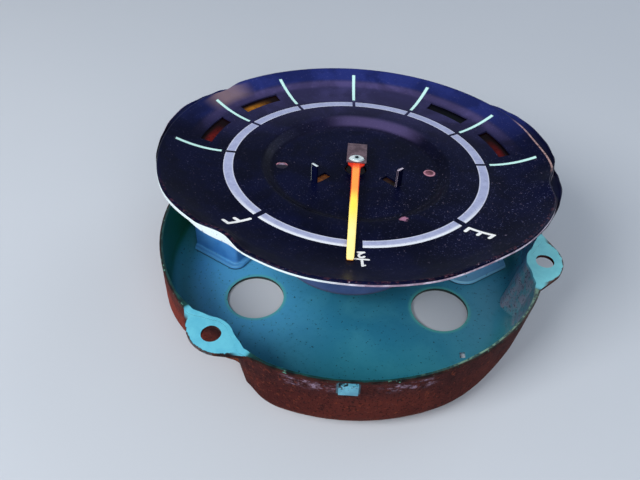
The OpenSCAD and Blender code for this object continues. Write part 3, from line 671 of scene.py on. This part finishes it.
def turned(section, steps):
    """Turns an open section round the axis into a shape."""
    shape = outline_of(section, False)
    geom = shape.verts[:] + shape.edges[:]
    bmesh.ops.spin(shape, geom=geom, cent=(0, 0, 0), axis=(0, 0, 1), angle=2 * pi, steps=steps, use_merge=True)
    bmesh.ops.remove_doubles(shape, verts=shape.verts[:], dist=0.0005)
    face_outward(shape)
    return shape


def swept(section, start, span, steps):
    """Sweeps a closed section round the axis from start through span, in degrees, and closes its ends."""
    shape = outline_of(section, True)
    bmesh.ops.rotate(shape, verts=shape.verts[:], cent=(0, 0, 0), matrix=Matrix.Rotation(radians(start), 3, "Z"))
    geom = shape.verts[:] + shape.edges[:]
    bmesh.ops.spin(shape, geom=geom, cent=(0, 0, 0), axis=(0, 0, 1), angle=radians(span), steps=steps)
    bmesh.ops.remove_doubles(shape, verts=shape.verts[:], dist=0.0001)
    bmesh.ops.holes_fill(shape, edges=[e for e in shape.edges if e.is_boundary], sides=0)
    return shape


dial = turned(profile_points(), STEPS_ROUND)


def set_at(vert, r, turn):
    """Moves a point level to a radius and a direction."""
    vert.co.xy = (direction(turn) * r).xy


window_ends = [(w + side * WINDOW_HALF) % 360 for w in WINDOWS for side in (-1, 1)]
for vert in dial.verts:
    r, turn = polar(vert.co)
    for end in window_ends:
        if r > FLAT_TO and abs(turn - end) < 180 / STEPS_ROUND + 0.001:
            turn = end
    set_at(vert, r, turn)


# Windows are pierced, and the two slots are where the stops were lanced out.
pierced = []
for face in dial.faces:
    r, turn = polar(face.calc_center_median())
    if WINDOW_IN < r < WINDOW_OUT and any(abs(turn - w) < WINDOW_HALF for w in WINDOWS):
        pierced.append(face)
    face.material_index = 1 if r > 51.6 else 0
bmesh.ops.delete(dial, geom=pierced, context="FACES")
STOP_R, STOP_TURN, STOP_SKEW, STOP_W, STOP_H = 12.8, 57, 13, 2.0, 5.1
SLOT_FROM, SLOT_HALF = 0.25, 1.15
# The tabs stand this much farther out than in the CAD, so the blade's rounded edge just meets them.
STOP_OUT = 0.26
stop_places = [
    Matrix.Rotation(radians(270 + side * STOP_TURN), 4, "Z")
    @ Matrix.Translation((STOP_R, 0, 0))
    @ Matrix.Rotation(radians(-side * STOP_SKEW), 4, "Z")
    @ Matrix.Translation((0, side * STOP_OUT, 0))
    for side in (-1, 1)
]
for place in stop_places:
    middles = [(face, face.calc_center_median()) for face in dial.faces]
    foot = place @ Vector((-3, 0, RECESS))
    near = [face for face, spot in middles if (spot - foot).length < 9 and polar(spot)[0] < 21]
    ends = [((x, 0), (1, 0)) for x in (-STOP_H, -SLOT_FROM)]
    sides = [((0, y), (0, 1)) for y in (SLOT_HALF, -SLOT_HALF)]
    for cut, way in ends + sides:
        split = cut_across(dial, near, place @ Vector((*cut, 0)), place.to_3x3() @ Vector((*way, 0)))
        near = [g for g in split if isinstance(g, bmesh.types.BMFace)]
    back = place.inverted()
    slot = []
    for f in near:
        spot = back @ f.calc_center_median()
        if -STOP_H < spot.x < -SLOT_FROM and abs(spot.y) < SLOT_HALF:
            slot.append(f)
    bmesh.ops.delete(dial, geom=slot, context="FACES")

# The rim is drawn to its outline: in past the ears, with the hem's cut edge stepping down there.
for vert in dial.verts:
    r, turn = polar(vert.co)
    if r < COVE_FOOT + 0.01:
        continue
    edge = rim_radius(turn)
    hem_start = DIAL_R - HEM_W
    if r > hem_start:
        new_r = r - (DIAL_R - edge)
    else:
        new_r = COVE_FOOT + (r - COVE_FOOT) * (edge - HEM_W - COVE_FOOT) / (hem_start - COVE_FOOT)
    if vert.co.z < CUT_EDGE + 0.01 and r > DIAL_R - 0.01:
        vert.co.z = skirt_low(turn)
    set_at(vert, new_r, turn)
face_outward(dial)
if sum(f.normal.z * f.calc_area() for f in dial.faces) < 0:
    bmesh.ops.reverse_faces(dial, faces=dial.faces[:])
bmesh.ops.solidify(dial, geom=dial.faces[:], thickness=0.5)


def add_flange(target, section, outline, bare_edge):
    """Sweeps a section round the dial's axis under its rim, out to an outline of (degrees, radius)."""
    start, span = outline[0][0], outline[-1][0] - outline[0][0]
    arc = swept(section, start, span, int(span))
    for face in arc.faces:
        if bare_edge and all(polar(v.co)[0] > 0.85 and v.co.z > 2.5 for v in face.verts):
            face.material_index = 1
    for vert in arc.verts:
        share, turn = polar(vert.co)
        if turn < start - 1:
            turn += 360
        for (a, r_a), (b, r_b) in zip(outline, outline[1:]):
            if a - 0.01 <= turn <= b + 0.01:
                t = (turn - a) / (b - a)
                outer = r_a + (r_b - r_a) * t * t * (3 - 2 * t)
        inner = rim_radius(turn) - 0.25
        set_at(vert, inner + share * (outer - inner), turn)
        vert.co.z -= 0.45 * max(0, 1 - (outer - inner - 0.2) / 1.2) * (1 if share > 0.5 else 0)
    face_outward(arc)
    add_part(target, arc)


# Outside the crest, at the right and the left, the sheet runs out again in a trough and a low turned-up edge.
flange_section = [
    (0.01, 2.15), (0.85, 2.2), (0.97, 2.36), (1.0, 2.6), (1.0, 3.2), (0.96, 3.36), (0.88, 3.42), (0.79, 3.3),
    (0.72, 2.9), (0.6, 2.72), (0.01, 2.7),
]
right_outline = [
    (324, 50.9), (331, 51.6), (340, 52.3), (347, 52.6), (352, 52.2), (357, 51.8), (364, 53.2), (372, 54.0),
    (382, 54.4), (388, 54.1), (393, 53.2), (400, 52.0), (406, 51.2),
]
left_outline = [
    (138, 50.6), (144, 51.6), (150, 52.5), (158, 53.3), (166, 53.0), (175, 52.4), (184, 52.1), (193, 51.7),
    (202, 51.2), (210, 50.7),
]
add_flange(dial, flange_section, right_outline, False)
add_flange(dial, flange_section, left_outline, True)

for place in stop_places:
    tab = block((-SHEET / 2, -STOP_W / 2, RECESS - SHEET), (SHEET / 2, STOP_W / 2, RECESS + STOP_H))
    tops = [e for e in tab.edges if all(v.co.z > 0 for v in e.verts) or abs(e.verts[0].co.z - e.verts[1].co.z) > 1]
    round_off(tab, tops, 0.13, 3)
    bmesh.ops.transform(tab, matrix=place, verts=tab.verts[:])
    face_outward(tab)
    # Each tab's top is its bare cut edge. Its rounded edges that face left take the same pale finish as a painted
    # highlight on the side toward the window light.
    for face in tab.faces:
        rounded = max(abs((place.to_3x3().inverted() @ face.normal)[k]) for k in range(3)) < 0.97
        face.material_index = 1 if face.normal.z > 0.3 or (rounded and face.normal.x < -0.5) else 0
    add_part(dial, tab)


# From the can's frame to the dial's own, both in metres.
home = into_can.inverted()


def on_dial(mix):
    """The place in metres, and the dial's own in millimetres, its radius and its angle in degrees from the top."""
    metres = mix.place()
    spot = mix.turned(metres, tuple(home.translation), tuple(home.to_euler("XYZ")))
    spot = mix.lay("VectorMath", {0: spot, "Scale": 1000.0}, operation="SCALE")
    x, y, z = mix.split(spot)
    reach = mix.sum("SQRT", mix.plus(mix.both(x, x), mix.both(y, y)))
    turn = mix.times(mix.sum("ARCTAN2", x, y), 180 / pi)
    return metres, spot, x, y, z, reach, turn


# One printed stroke: 1 within half a width of the line between two points of the flat print.
mix, entry, leave = new_group("printed_stroke", ("Place", "From", "To"), ("Half Width",), ("Mask",))
stroke_tree = mix.tree
flat = mix.vector("MULTIPLY", entry["Place"], (1, 1, 0))
along = mix.vector("SUBTRACT", entry["To"], entry["From"])
out = mix.vector("SUBTRACT", flat, entry["From"])
dot = mix.vector("DOT_PRODUCT", out, along, "Value")
length = mix.vector("DOT_PRODUCT", along, along, "Value")
share = mix.lay("Clamp", {0: mix.sum("DIVIDE", dot, length)})
foot = mix.lay("VectorMath", {0: along, "Scale": share}, operation="SCALE")
gap = mix.lay("VectorMath", {0: mix.vector("SUBTRACT", out, foot)}, "Value", operation="LENGTH")
soft = mix.minus(gap, entry["Half Width"])
mix.join(mix.fade(soft, 0.05, -0.05), leave["Mask"])


def printed(mix, spot, start, end, width):
    """A printed stroke between two points of the dial given as (radius, degrees round the dial)."""
    ends = {name: direction(turn) * r for name, (r, turn) in (("From", start), ("To", end))}
    return mix.lay("Group", {"Place": spot, "Half Width": width / 2, **ends}, node_tree=stroke_tree)


dial_finish, mix = new_finish("dial_finish", 0.38, ior_level=0.11)
mix.shader.inputs["Specular Tint"].default_value = (0.42, 0.52, 1.0, 1)
metres, spot, x, y, z, reach, turn = on_dial(mix)
patches, specks, scratches, grain = worn(mix, metres, 0.012, 0.0007, 0.42)
_, dust, _, _ = worn(mix, mix.turned(metres, (0.31, 0.2, 0.1)), 0.006, 0.0004, 0.52)
colour = mix.over(patches, (3, 5, 26), (7, 11, 42))
# The slope down into the recess is painted darker, as painted shade.
recess_slope_shade = mix.both((reach, 21.2, 22.4), (reach, 25.9, 24.6))
colour = mix.over(mix.times(recess_slope_shade, 0.6), colour, (6, 6, 18))

# Seven division marks run up the cove, at steps of 28.4 degrees from the top mark.
STEP = 28.4
nearest = mix.sum("MINIMUM", mix.sum("MAXIMUM", mix.sum("ROUND", mix.sum("DIVIDE", turn, STEP)), -3.0), 3.0)
off = mix.size(mix.minus(turn, mix.times(nearest, STEP)))
beside = mix.times(mix.both(off, reach), pi / 180)
marks = mix.both(
    (beside, mix.fade(reach, 36.0, 49.0, 0.50, 0.62), 0.34),
    (reach, 36.25, 36.45),
    (reach, 48.75, 48.5),
    (y, -12.0, -11.0),
)
gaps = [mix.fade(beside, 0.38, 0.50)]
for at, half in ((-136.0, 0.75), (134.0, 0.75), (180.55, 1.1)):
    aside = mix.size(mix.sum("WRAP", mix.minus(turn, at), 180.0, -180.0))
    gaps.append(mix.fade(mix.times(mix.both(aside, reach), pi / 180), half - 0.05, half + 0.05))
ring = mix.both((reach, 32.5, 32.62), (reach, 35.16, 35.04), *gaps)
ring_rim = mix.either((reach, 32.95, 32.75), (reach, 34.75, 34.95))

full = [
    ((36.8, 226.1), (42.3, 224.2), 0.80), ((42.2, 224.2), (42.4, 222.0), 0.86),
    ((39.4, 225.0), (39.6, 222.7), 0.86),
]
empty = [
    ((36.8, 315.7), (42.8, 317.4), 0.80), ((36.8, 315.7), (36.9, 313.1), 0.86),
    ((39.8, 316.4), (39.8, 314.4), 0.86), ((42.7, 317.3), (42.6, 315.2), 0.86),
]
half_mark = [
    ((39.9, 270.62), (42.1, 270.65), 0.60), ((42.05, 270.7), (41.75, 271.4), 0.50),
    ((39.3, 268.3), (39.45, 272.8), 0.56), ((38.3, 271.5), (38.65, 270.8), 0.56),
    ((38.65, 270.8), (38.55, 270.0), 0.56), ((38.55, 270.0), (38.0, 269.6), 0.56),
    ((38.0, 269.6), (37.5, 269.85), 0.56), ((37.5, 269.85), (36.85, 271.1), 0.56),
    ((36.8, 269.4), (36.75, 271.6), 0.56),
]
letters = mix.either(*[printed(mix, spot, a, b, w) for a, b, w in full + empty + half_mark])
thin = mix.cloud(metres, 0.0009, 4.0, 0.75)
worn_print = mix.fade(thin, 0.30, 0.42)
ring_colour = mix.over(mix.cloud(metres, 0.0022, 4.0, 0.7), (136, 144, 184), (194, 202, 234))
ring_colour = mix.over(mix.times(ring_rim, 0.6), ring_colour, (222, 226, 242))
# The ring's outer edge at the front is painted paler still: a painted reflection.
ring_edge_reflection = mix.both((reach, 33.9, 34.7), (y, -12.0, -27.0))
ring_colour = mix.over(ring_edge_reflection, ring_colour, (238, 244, 254))
flat_only = mix.fade(z, -0.25, -0.15)
colour = mix.coats(
    colour,
    (mix.both(ring, flat_only, (worn_print, 0, 1, 0.8, 1.0)), ring_colour),
    (mix.both(marks, flat_only), (206, 252, 246)),
    (mix.both(letters, flat_only), (252, 255, 255)),
)
face_only = mix.both(
    (mix.lay("SeparateXYZ", {0: mix.lay("NewGeometry", {}, "Normal")}, 2), 0.2, 0.5),
    (reach, 51, 50.4),
)
thick_dust = mix.fade(mix.vector("DISTANCE", spot, (30, -18, 0), "Value"), 34.0, 10.0, 0.35, 1.0)
colour = mix.coats(
    colour,
    (mix.both(dust, face_only, thick_dust, (patches, 0, 1, 0.4, 0.9)), (104, 108, 150)),
    (mix.both(specks, face_only, thick_dust, (thin, 0.45, 0.6, 0.2, 0.9)), (126, 116, 140)),
)
crest = mix.both((z, 3.45, 3.66), (mix.cloud(metres, 0.0011, 4.0, 0.75), 0.50, 0.60), (y, -10.0, -26.0))
colour = mix.over(crest, colour, mix.over(dust, (66, 38, 50), (190, 176, 196)))
# Along the crest at the right a pale pink line is painted: partly wear rubbed bare, partly a painted highlight.
bright = mix.both((z, 3.60, 3.68), (x, 36.0, 44.0), (mix.size(mix.minus(y, 9.0)), 15.0, 9.0))
colour = mix.over(mix.both(bright, (thin, 0.3, 0.55, 0.15, 0.9)), colour, (196, 160, 156))
# Toward the back the cove is painted paler and bluer, with a lighter band below the rim: painted reflection on the
# satin black.
back_cove_sheen = mix.both((reach, 21.0, 47.0, 0.35, 1.0), (y, 5.0, 38.0), (patches, 0, 1, 0.6, 1.0), (reach, 19.5, 22.0))
cove_reflection_band = mix.fade(mix.size(mix.minus(reach, 44.8)), 1.9, 0.5)
back_cove_sheen_tone = mix.over(cove_reflection_band, (120, 114, 184), (156, 142, 224))
back_cove_sheen_tone = mix.over((reach, 45.7, 47.2), back_cove_sheen_tone, (76, 94, 206))
colour = mix.over(mix.times(mix.both(back_cove_sheen, mix.unless(mix.either(marks, ring))), 0.24), colour, back_cove_sheen_tone)
# At the back, the recess slope faces the front and is painted lighter: a painted reflection.
back_slope_reflection = mix.both((reach, 22.4, 23.6), (reach, 27.4, 25.0))
back_slope_reflection = mix.both(back_slope_reflection, (mix.size(mix.minus(turn, 16.0)), 40.0, 16.0))
colour = mix.over(mix.times(back_slope_reflection, 0.2), colour, (150, 132, 200))
# A warm pale patch on the cove at the back left is a painted highlight.
cove_glare = mix.both((mix.size(mix.plus(turn, 51.0)), 12.0, 2.0), (reach, 44.5, 47.5), (reach, 50.8, 49.8))
colour = mix.over(mix.times(mix.both(cove_glare, mix.unless(marks)), 0.4), colour, (188, 156, 150))
spot_off = mix.vector("DISTANCE", spot, (10.9, -23.3, 0), "Value")
colour = mix.over((mix.sum("MULTIPLY_ADD", thin, 3.4, spot_off), 2.75, 2.35), colour, (170, 118, 146))
mix.feed(
    colour,
    rough=mix.plus(mix.fade(patches, 0, 1, 0.30, 0.38), mix.times(mix.either(ring, marks, letters), 0.2)),
    bump=(mix.plus(mix.times(grain, 0.25), mix.either(ring, marks, letters)), 0.00003),
)

edge_finish, mix = new_finish("edge_finish", 0.45)
metres, spot, x, y, z, reach, turn = on_dial(mix)
patches, specks, scratches, grain = worn(mix, metres, 0.004, 0.0008, 0.5)
bare = mix.over(patches, (142, 118, 138), (210, 202, 220))
# At the front left the bare edge is painted whiter still, as painted light where the window light falls on it.
left = mix.fade(mix.size(mix.minus(turn, -132.0)), 50.0, 34.0)
bare = mix.coats(
    bare,
    (left, (214, 228, 232)),
    (specks, (78, 44, 40), 0.6),
)
mix.feed(bare, rough=(patches, 0, 1, 0.38, 0.55), bump=(grain, 0.00005))
set_up(dial, "dial", [dial_finish, edge_finish], "gauge_unit", "dial_plate", into_can)

# ------------------------------
# Two copper rivets with low domed heads hold the dial to the movement plate.
# Their heads lie near the edge of the dial's recess and have dulled unevenly, and the left one carries painted light
# and shade.
RIVET_R, HEAD_R, SHANK_R = 19.8, 1.6, 1.0
rivets = bmesh.new()
for side in (-1, 1):
    dome = [(HEAD_R * cos(radians(t)), RECESS - 0.02 + 0.16 * sin(radians(t))) for t in (90, 70, 50, 30, 10)]
    dome[0] = (0, RECESS + 0.14)
    shank = [(HEAD_R, RECESS - 0.1), (HEAD_R, -2.3), (SHANK_R, -2.3), (SHANK_R, -3.5), (0, -3.5)]
    one = turned(dome + shank, 32)
    bmesh.ops.translate(one, verts=one.verts[:], vec=(side * RIVET_R, 0, 0))
    add_part(rivets, one)
copper, mix = new_finish("copper", 0.42)
metres, spot, x, y, z, reach, turn = on_dial(mix)
patches, specks, scratches, grain = worn(mix, metres, 0.0014, 0.0005, 0.4)
from_middle = mix.sum("SQRT", mix.plus(mix.sum("POWER", mix.minus(mix.size(x), RIVET_R), 2.0), mix.both(y, y)))
# Each head is paler round its rim. The left one's middle is painted pale, a painted highlight.
colour = mix.coats(
    mix.over(patches, (84, 42, 56), (128, 76, 92)),
    ((from_middle, 0.95, 1.3), (186, 128, 146)),
    (mix.both((x, 0, -1), (from_middle, 1.3, 0.4)), (170, 150, 176)),
)
# On the left head the front half and a strip at the back are painted dark: painted shade.
in_shade = mix.both((x, 0, -1), (y, 0.55, -0.15))
colour = mix.coats(
    colour,
    (mix.either(in_shade, mix.both((x, 0, -1), (y, 1.1, 1.35))), (20, 18, 38)),
    (specks, (34, 22, 38)),
)
mix.feed(colour, rough=(patches, 0, 1, 0.35, 0.6), bump=(grain, 0.00004))
set_up(rivets, "rivets", [copper], "gauge_unit", "dial_rivets", into_can)

# ------------------------------
# Four warning windows are closed from behind by small arcs of dyed clear film,
# red, amber, green and red, held by cement at their ends.
FILM_UNDER, FILM_T, FILM_SPAN = 0.58, 0.25, 20.6
for node, slot, middle, shadowed_tone, bright in (
    ("filter_red_left", "red_film", -71.0, (16, 2, 5), (108, 18, 15)),
    ("filter_amber", "amber_film", -42.6, (20, 9, 8), (168, 108, 28)),
    ("filter_green", "green_film", 42.6, (2, 3, 10), (6, 14, 16)),
    ("filter_red_right", "dark_red_film", 71.0, (9, 1, 3), (84, 9, 12)),
):
    film, mix = new_finish(node + "_film", 0.25, ior_level=0.1)
    metres, spot, x, y, z, reach, turn = on_dial(mix)
    patches, specks, scratches, grain = worn(mix, metres, 0.003, 0.0006, 0.6)
    # Each film shows its dyed colour lit only toward the front end and inner edge of its window. Elsewhere a dark
    # copy of that colour is painted shadow cast by the window's edges.
    near = mix.fade(mix.times(turn, copysign(1, middle)), abs(middle) - 6, abs(middle) + 5)
    near = mix.both(near, (reach, 42.9, 41.3), (patches, 0, 1, 0.6, 1))
    colour = mix.over(near, shadowed_tone, bright)
    colour = mix.over(mix.times(specks, 0.5), colour, (30, 16, 16))
    mix.feed(colour, rough=(patches, 0, 1, 0.25, 0.45), bump=(grain, 0.00002))
    under = [(r, cove(r) - FILM_UNDER) for r in (39.0, 40.3, 41.6, 43.0, 44.4)]
    section = under + [(r, z - FILM_T) for r, z in reversed(under)]
    arc = swept(section, 90 - middle - FILM_SPAN / 2, FILM_SPAN, 20)
    face_outward(arc)
    set_up(arc, node + "_arc", [film], "gauge_unit", node, into_can)

# ------------------------------
# The movement's steel mounting plate and its cup, a plain drawn steel cover
# sprayed grey-lilac that hides the coils. The cup is open above, where its
# edge is pressed on the mounting plate.


def metal_finish(name, dark, light, rough, metal, speck_tone, patch=0.004, share=0.3, bump=0.00003):
    """A plain worked metal or board with tarnish in patches, pits and fine scratches."""
    finish, mix = new_finish(name, rough, metal)
    spot = mix.place()
    patches, specks, scratches, grain = worn(mix, spot, patch, 0.0007, share)
    colour = mix.coats(
        mix.over(patches, dark, light),
        (specks, speck_tone, 0.6),
        (scratches, [min(255, c + 40) for c in light], 0.35),
    )
    mix.feed(
        colour,
        rough=(patches, 0, 1, rough + 0.1, rough - 0.06),
        bump=(mix.minus(grain, mix.times(specks, 0.5)), bump),
    )
    return finish


plated = metal_finish("plated_steel", (118, 116, 120), (168, 168, 172), 0.36, 0.8, (78, 62, 52))
bronzed, mix = new_finish("bronzed_plate", 0.45, 0.5)
spot = mix.place()
x, y, z = mix.split(spot)
patches, specks, scratches, grain = worn(mix, spot, 0.003, 0.0007, 0.3)
# The plate is dark bronze. Toward the left, where it shows through the left stop's slot, it is painted bright brass:
# its own brass colour brightened into a painted glint.
colour = mix.coats(
    mix.over(patches, (30, 18, 15), (66, 38, 26)),
    ((x, 0.0, -0.006), mix.over(patches, (96, 50, 22), (190, 112, 50))),
    (specks, (14, 9, 8), 0.6),
)
mix.feed(colour, rough=(patches, 0, 1, 0.5, 0.38), bump=(grain, 0.00003))
dress("movement_plate", bronzed)
CUP_R, CUP_T, CUP_LOW, CUP_TOP = 20.5, 0.6, -29.6, -3.5
CUP_CORNER = 1.6


def cup_corner(round_r, turns):
    """The cup's lower corner as (radius, height), rounded to round_r, in steps of degrees from its floor up."""
    return [
        (
            CUP_R - CUP_CORNER + round_r * sin(radians(t)),
            CUP_LOW + CUP_CORNER - round_r * cos(radians(t)),
        )
        for t in turns
    ]


cup_mouth = [
    (CUP_R, CUP_TOP - 0.35), (CUP_R - 0.12, CUP_TOP - 0.08), (CUP_R - 0.3, CUP_TOP), (CUP_R - CUP_T, CUP_TOP - 0.05)
]
cup_outside = [(0, CUP_LOW)] + cup_corner(CUP_CORNER, range(0, 91, 15))
cup_inside = cup_corner(CUP_CORNER - CUP_T, range(90, -1, -15)) + [(0, CUP_LOW + CUP_T)]
cup = turned(cup_outside + cup_mouth + cup_inside, 128)
cup_finish, mix = new_finish("cup_finish", 0.4)
metres, spot, x, y, z, reach, turn = on_dial(mix)
patches, specks, scratches, grain = worn(mix, metres, 0.011, 0.0012, 0.2)
# A dark line along the cup's bottom edge is painted shadow.
colour = mix.coats(
    mix.over(patches, (62, 82, 132), (80, 98, 148)),
    ((z, -27.6, -29.0), (80, 78, 100)),
    ((z, -29.15, -29.45), (40, 32, 48)),
    (specks, (48, 44, 60), 0.6),
    (scratches, (160, 160, 176), 0.5),
)
mix.feed(colour, rough=(patches, 0, 1, 0.36, 0.5), bump=(grain, 0.00004))
set_up(cup, "cup", [cup_finish], "gauge_unit", "movement_cup", into_can)

# ------------------------------
# Inside the cup, never seen while it is closed: brass pillars, bush and pivot
# screw, a pressed base plate, iron cores in fibre bobbins wound with enamelled
# copper wire, and the small armature with its aluminium damper disc.
brass = metal_finish("brass", (136, 104, 52), (190, 154, 84), 0.32, 0.9, (84, 60, 34))
for node in ("frame_pillars", "lower_pivot_screw"):
    dress(node, brass)
# The bush and the collet show in the dial's middle hole under the pointer. They are painted nearly black, as painted
# shade.
shade_dark_brass = metal_finish("shade_dark_brass", (7, 7, 12), (14, 13, 18), 0.6, 0.1, (4, 4, 6))
for node in ("upper_bush", "hub_collet"):
    dress(node, shade_dark_brass)
iron = metal_finish("soft_iron", (84, 82, 84), (120, 118, 118), 0.46, 0.75, (92, 58, 42))
for node in ("base_plate", "empty_coil_core", "full_coil_core", "armature"):
    dress(node, iron)
dress("core_screws", plated)
dress("board_spacers", plated)
steel = metal_finish("blued_steel", (34, 50, 58), (58, 74, 82), 0.3, 0.6, (22, 28, 32))
dress("spindle", steel)
aluminium = metal_finish("damper_aluminium", (150, 152, 156), (198, 200, 204), 0.34, 0.9, (110, 110, 114))
dress("damper_disc", aluminium)
fibre = metal_finish("bobbin_fibre", (96, 60, 38), (132, 86, 56), 0.6, 0.0, (62, 38, 26), 0.006, 0.45)
for node in ("empty_coil_bobbin", "full_coil_bobbin", "terminal_board", "resistor_card"):
    dress(node, fibre)
for node, along in (("empty_coil_winding", 135), ("full_coil_winding", 45)):
    wire, mix = new_finish(node + "_wire", 0.34, 0.6)
    metres, spot, x, y, z, reach, turn = on_dial(mix)
    across = mix.plus(mix.times(x, cos(radians(along))), mix.times(y, sin(radians(along))))
    turns = mix.size(mix.sum("SINE", mix.times(across, pi / 0.25)))
    patches, specks, scratches, grain = worn(mix, metres, 0.003, 0.0006, 0.2)
    colour = mix.over(patches, (128, 58, 28), (176, 92, 44))
    colour = mix.over((turns, 0.35, 0.0), colour, (60, 26, 16))
    mix.feed(colour, rough=(patches, 0, 1, 0.28, 0.42), bump=(turns, 0.00008))
    dress(node, wire)

# ------------------------------
# Two brass terminal studs pass through red fibre insulators under the cup and
# carry a plain washer and a hexagon nut each. The unit stands on their tips.
stud_finish, mix = new_finish("stud_brass", 0.34, 0.85)
metres, spot, x, y, z, reach, turn = on_dial(mix)
patches, specks, scratches, grain = worn(mix, metres, 0.003, 0.0006, 0.4)
thread = mix.both(mix.size(mix.sum("SINE", mix.times(z, pi / 0.8))), (z, -30.6, -30.9))
colour = mix.coats(
    mix.over(patches, (126, 94, 48), (184, 146, 80)),
    (mix.both((thread, 0.3, 0.0), (z, -30.6, -30.9)), (58, 42, 26)),
    (specks, (74, 70, 46), 0.6),
)
mix.feed(colour, rough=(patches, 0, 1, 0.3, 0.5), bump=(thread, 0.00018))
dress("terminal_studs", stud_finish)
dress("stud_nuts", metal_finish("nut_brass", (140, 110, 60), (190, 158, 92), 0.34, 0.85, (80, 66, 40), 0.005))
dress("stud_washers", plated)
red_fibre = metal_finish("insulator_fibre", (112, 34, 28), (142, 52, 38), 0.62, 0.0, (70, 22, 20), 0.004, 0.5)
dress("stud_insulators", red_fibre)

# ------------------------------
# The pointer: a light stamped blade with a blackened counterweight behind its
# pivot, both held by a bright staked cap. The blade is sprayed fluorescent,
# orange at its root and yellow at its tip, and its edges stay red.
AIM = radians(270 - 3.2)
in_pointer = into_can @ Matrix.Rotation(AIM, 4, "Z")
blade = block((0, -0.5, 0.5), (40.4, 0.5, 0.9))
for cut in (1.4, 1.7, 2.0, 2.3, 2.6, 3.0, 7, 12, 17, 22, 27, 32, 37, 39.9):
    cut_across(blade, blade.faces[:], (cut, 0, 0), (1, 0, 0))
for vert in blade.verts:
    x = vert.co.x
    flare = 0.5 + 0.5 * cos(pi * min(max((x - 1.4) / 1.6, 0), 1))
    vert.co.y *= 2.2 - 0.01 * x + 2.3 * flare - (0.5 if x > 40 else 0)
round_off(blade, [e for e in blade.edges if e.is_manifold and e.calc_face_angle(0) > 1], 0.07, 2)
face_outward(blade)
blade_finish, mix = new_finish("blade_finish", 0.4)
metres, spot, x, y, z, reach, turn = on_dial(mix)
patches, specks, scratches, grain = worn(mix, metres, 0.004, 0.0008, 0.2)
aside = mix.plus(mix.times(x, -sin(AIM)), mix.times(y, cos(AIM)))
colour = mix.coats(
    mix.over((reach, 2.0, 4.2), (226, 36, 20), (252, 150, 66)),
    ((reach, 12.0, 18.5), (255, 232, 84)),
    ((reach, 20.0, 31.0), (255, 240, 158)),
    (patches, (240, 186, 70), 0.14),
)
half = mix.fade(reach, 0.0, 41.0, 1.1, 0.9)
border = mix.fade(mix.minus(half, mix.size(aside)), 0.34, 0.12)
border_tone = mix.over((reach, 15.0, 22.0), (200, 34, 14), (255, 226, 120))
colour = mix.coats(
    colour,
    (mix.times(border, mix.fade(reach, 12.0, 30.0, 0.9, 0.5)), border_tone),
    ((z, 0.80, 0.68), mix.over((reach, 15.0, 24.0), (150, 20, 12), (206, 130, 40))),
    (specks, (120, 50, 20), 0.3),
)
mix.feed(colour, rough=(patches, 0, 1, 0.36, 0.46), bump=(grain, 0.00003))
# The blade also glows faintly in its own colour: painted light to brighten it.
mix.join(colour, mix.shader.inputs["Emission Color"])
mix.shader.inputs["Emission Strength"].default_value = 0.28
set_up(blade, "blade", [blade_finish], "pointer", "pointer_blade", in_pointer)

tail_finish = metal_finish("tail_finish", (92, 74, 84), (128, 106, 116), 0.40, 0.3, (50, 38, 44), 0.002)
tail = rounded_block((-8, -2.65, 0.9), (1.8, 2.65, 1.5), 0.12)
for vert in tail.verts:
    if vert.co.x > 1 and abs(vert.co.y) > 2.4:
        vert.co.x -= 0.6
set_up(tail, "tail", [tail_finish], "pointer", "pointer_tail", in_pointer)

cap_finish = metal_finish("cap_finish", (196, 220, 226), (240, 250, 252), 0.24, 0.2, (70, 84, 92), 0.002)
cap = bmesh.new()
bmesh.ops.create_cone(cap, cap_ends=True, segments=48, radius1=1, radius2=0.9, depth=0.5)
for vert in cap.verts:
    vert.co.x *= 1.45 - 0.55 * vert.co.y**2
    vert.co.y *= 2.05
bmesh.ops.translate(cap, verts=cap.verts[:], vec=(0, 0, 1.75))
round_off(cap, [e for e in cap.edges if all(v.co.z > 1.9 for v in e.verts)], 0.12, 3)
face_outward(cap)
set_up(cap, "cap", [cap_finish], "pointer", "hub_cap", in_pointer)
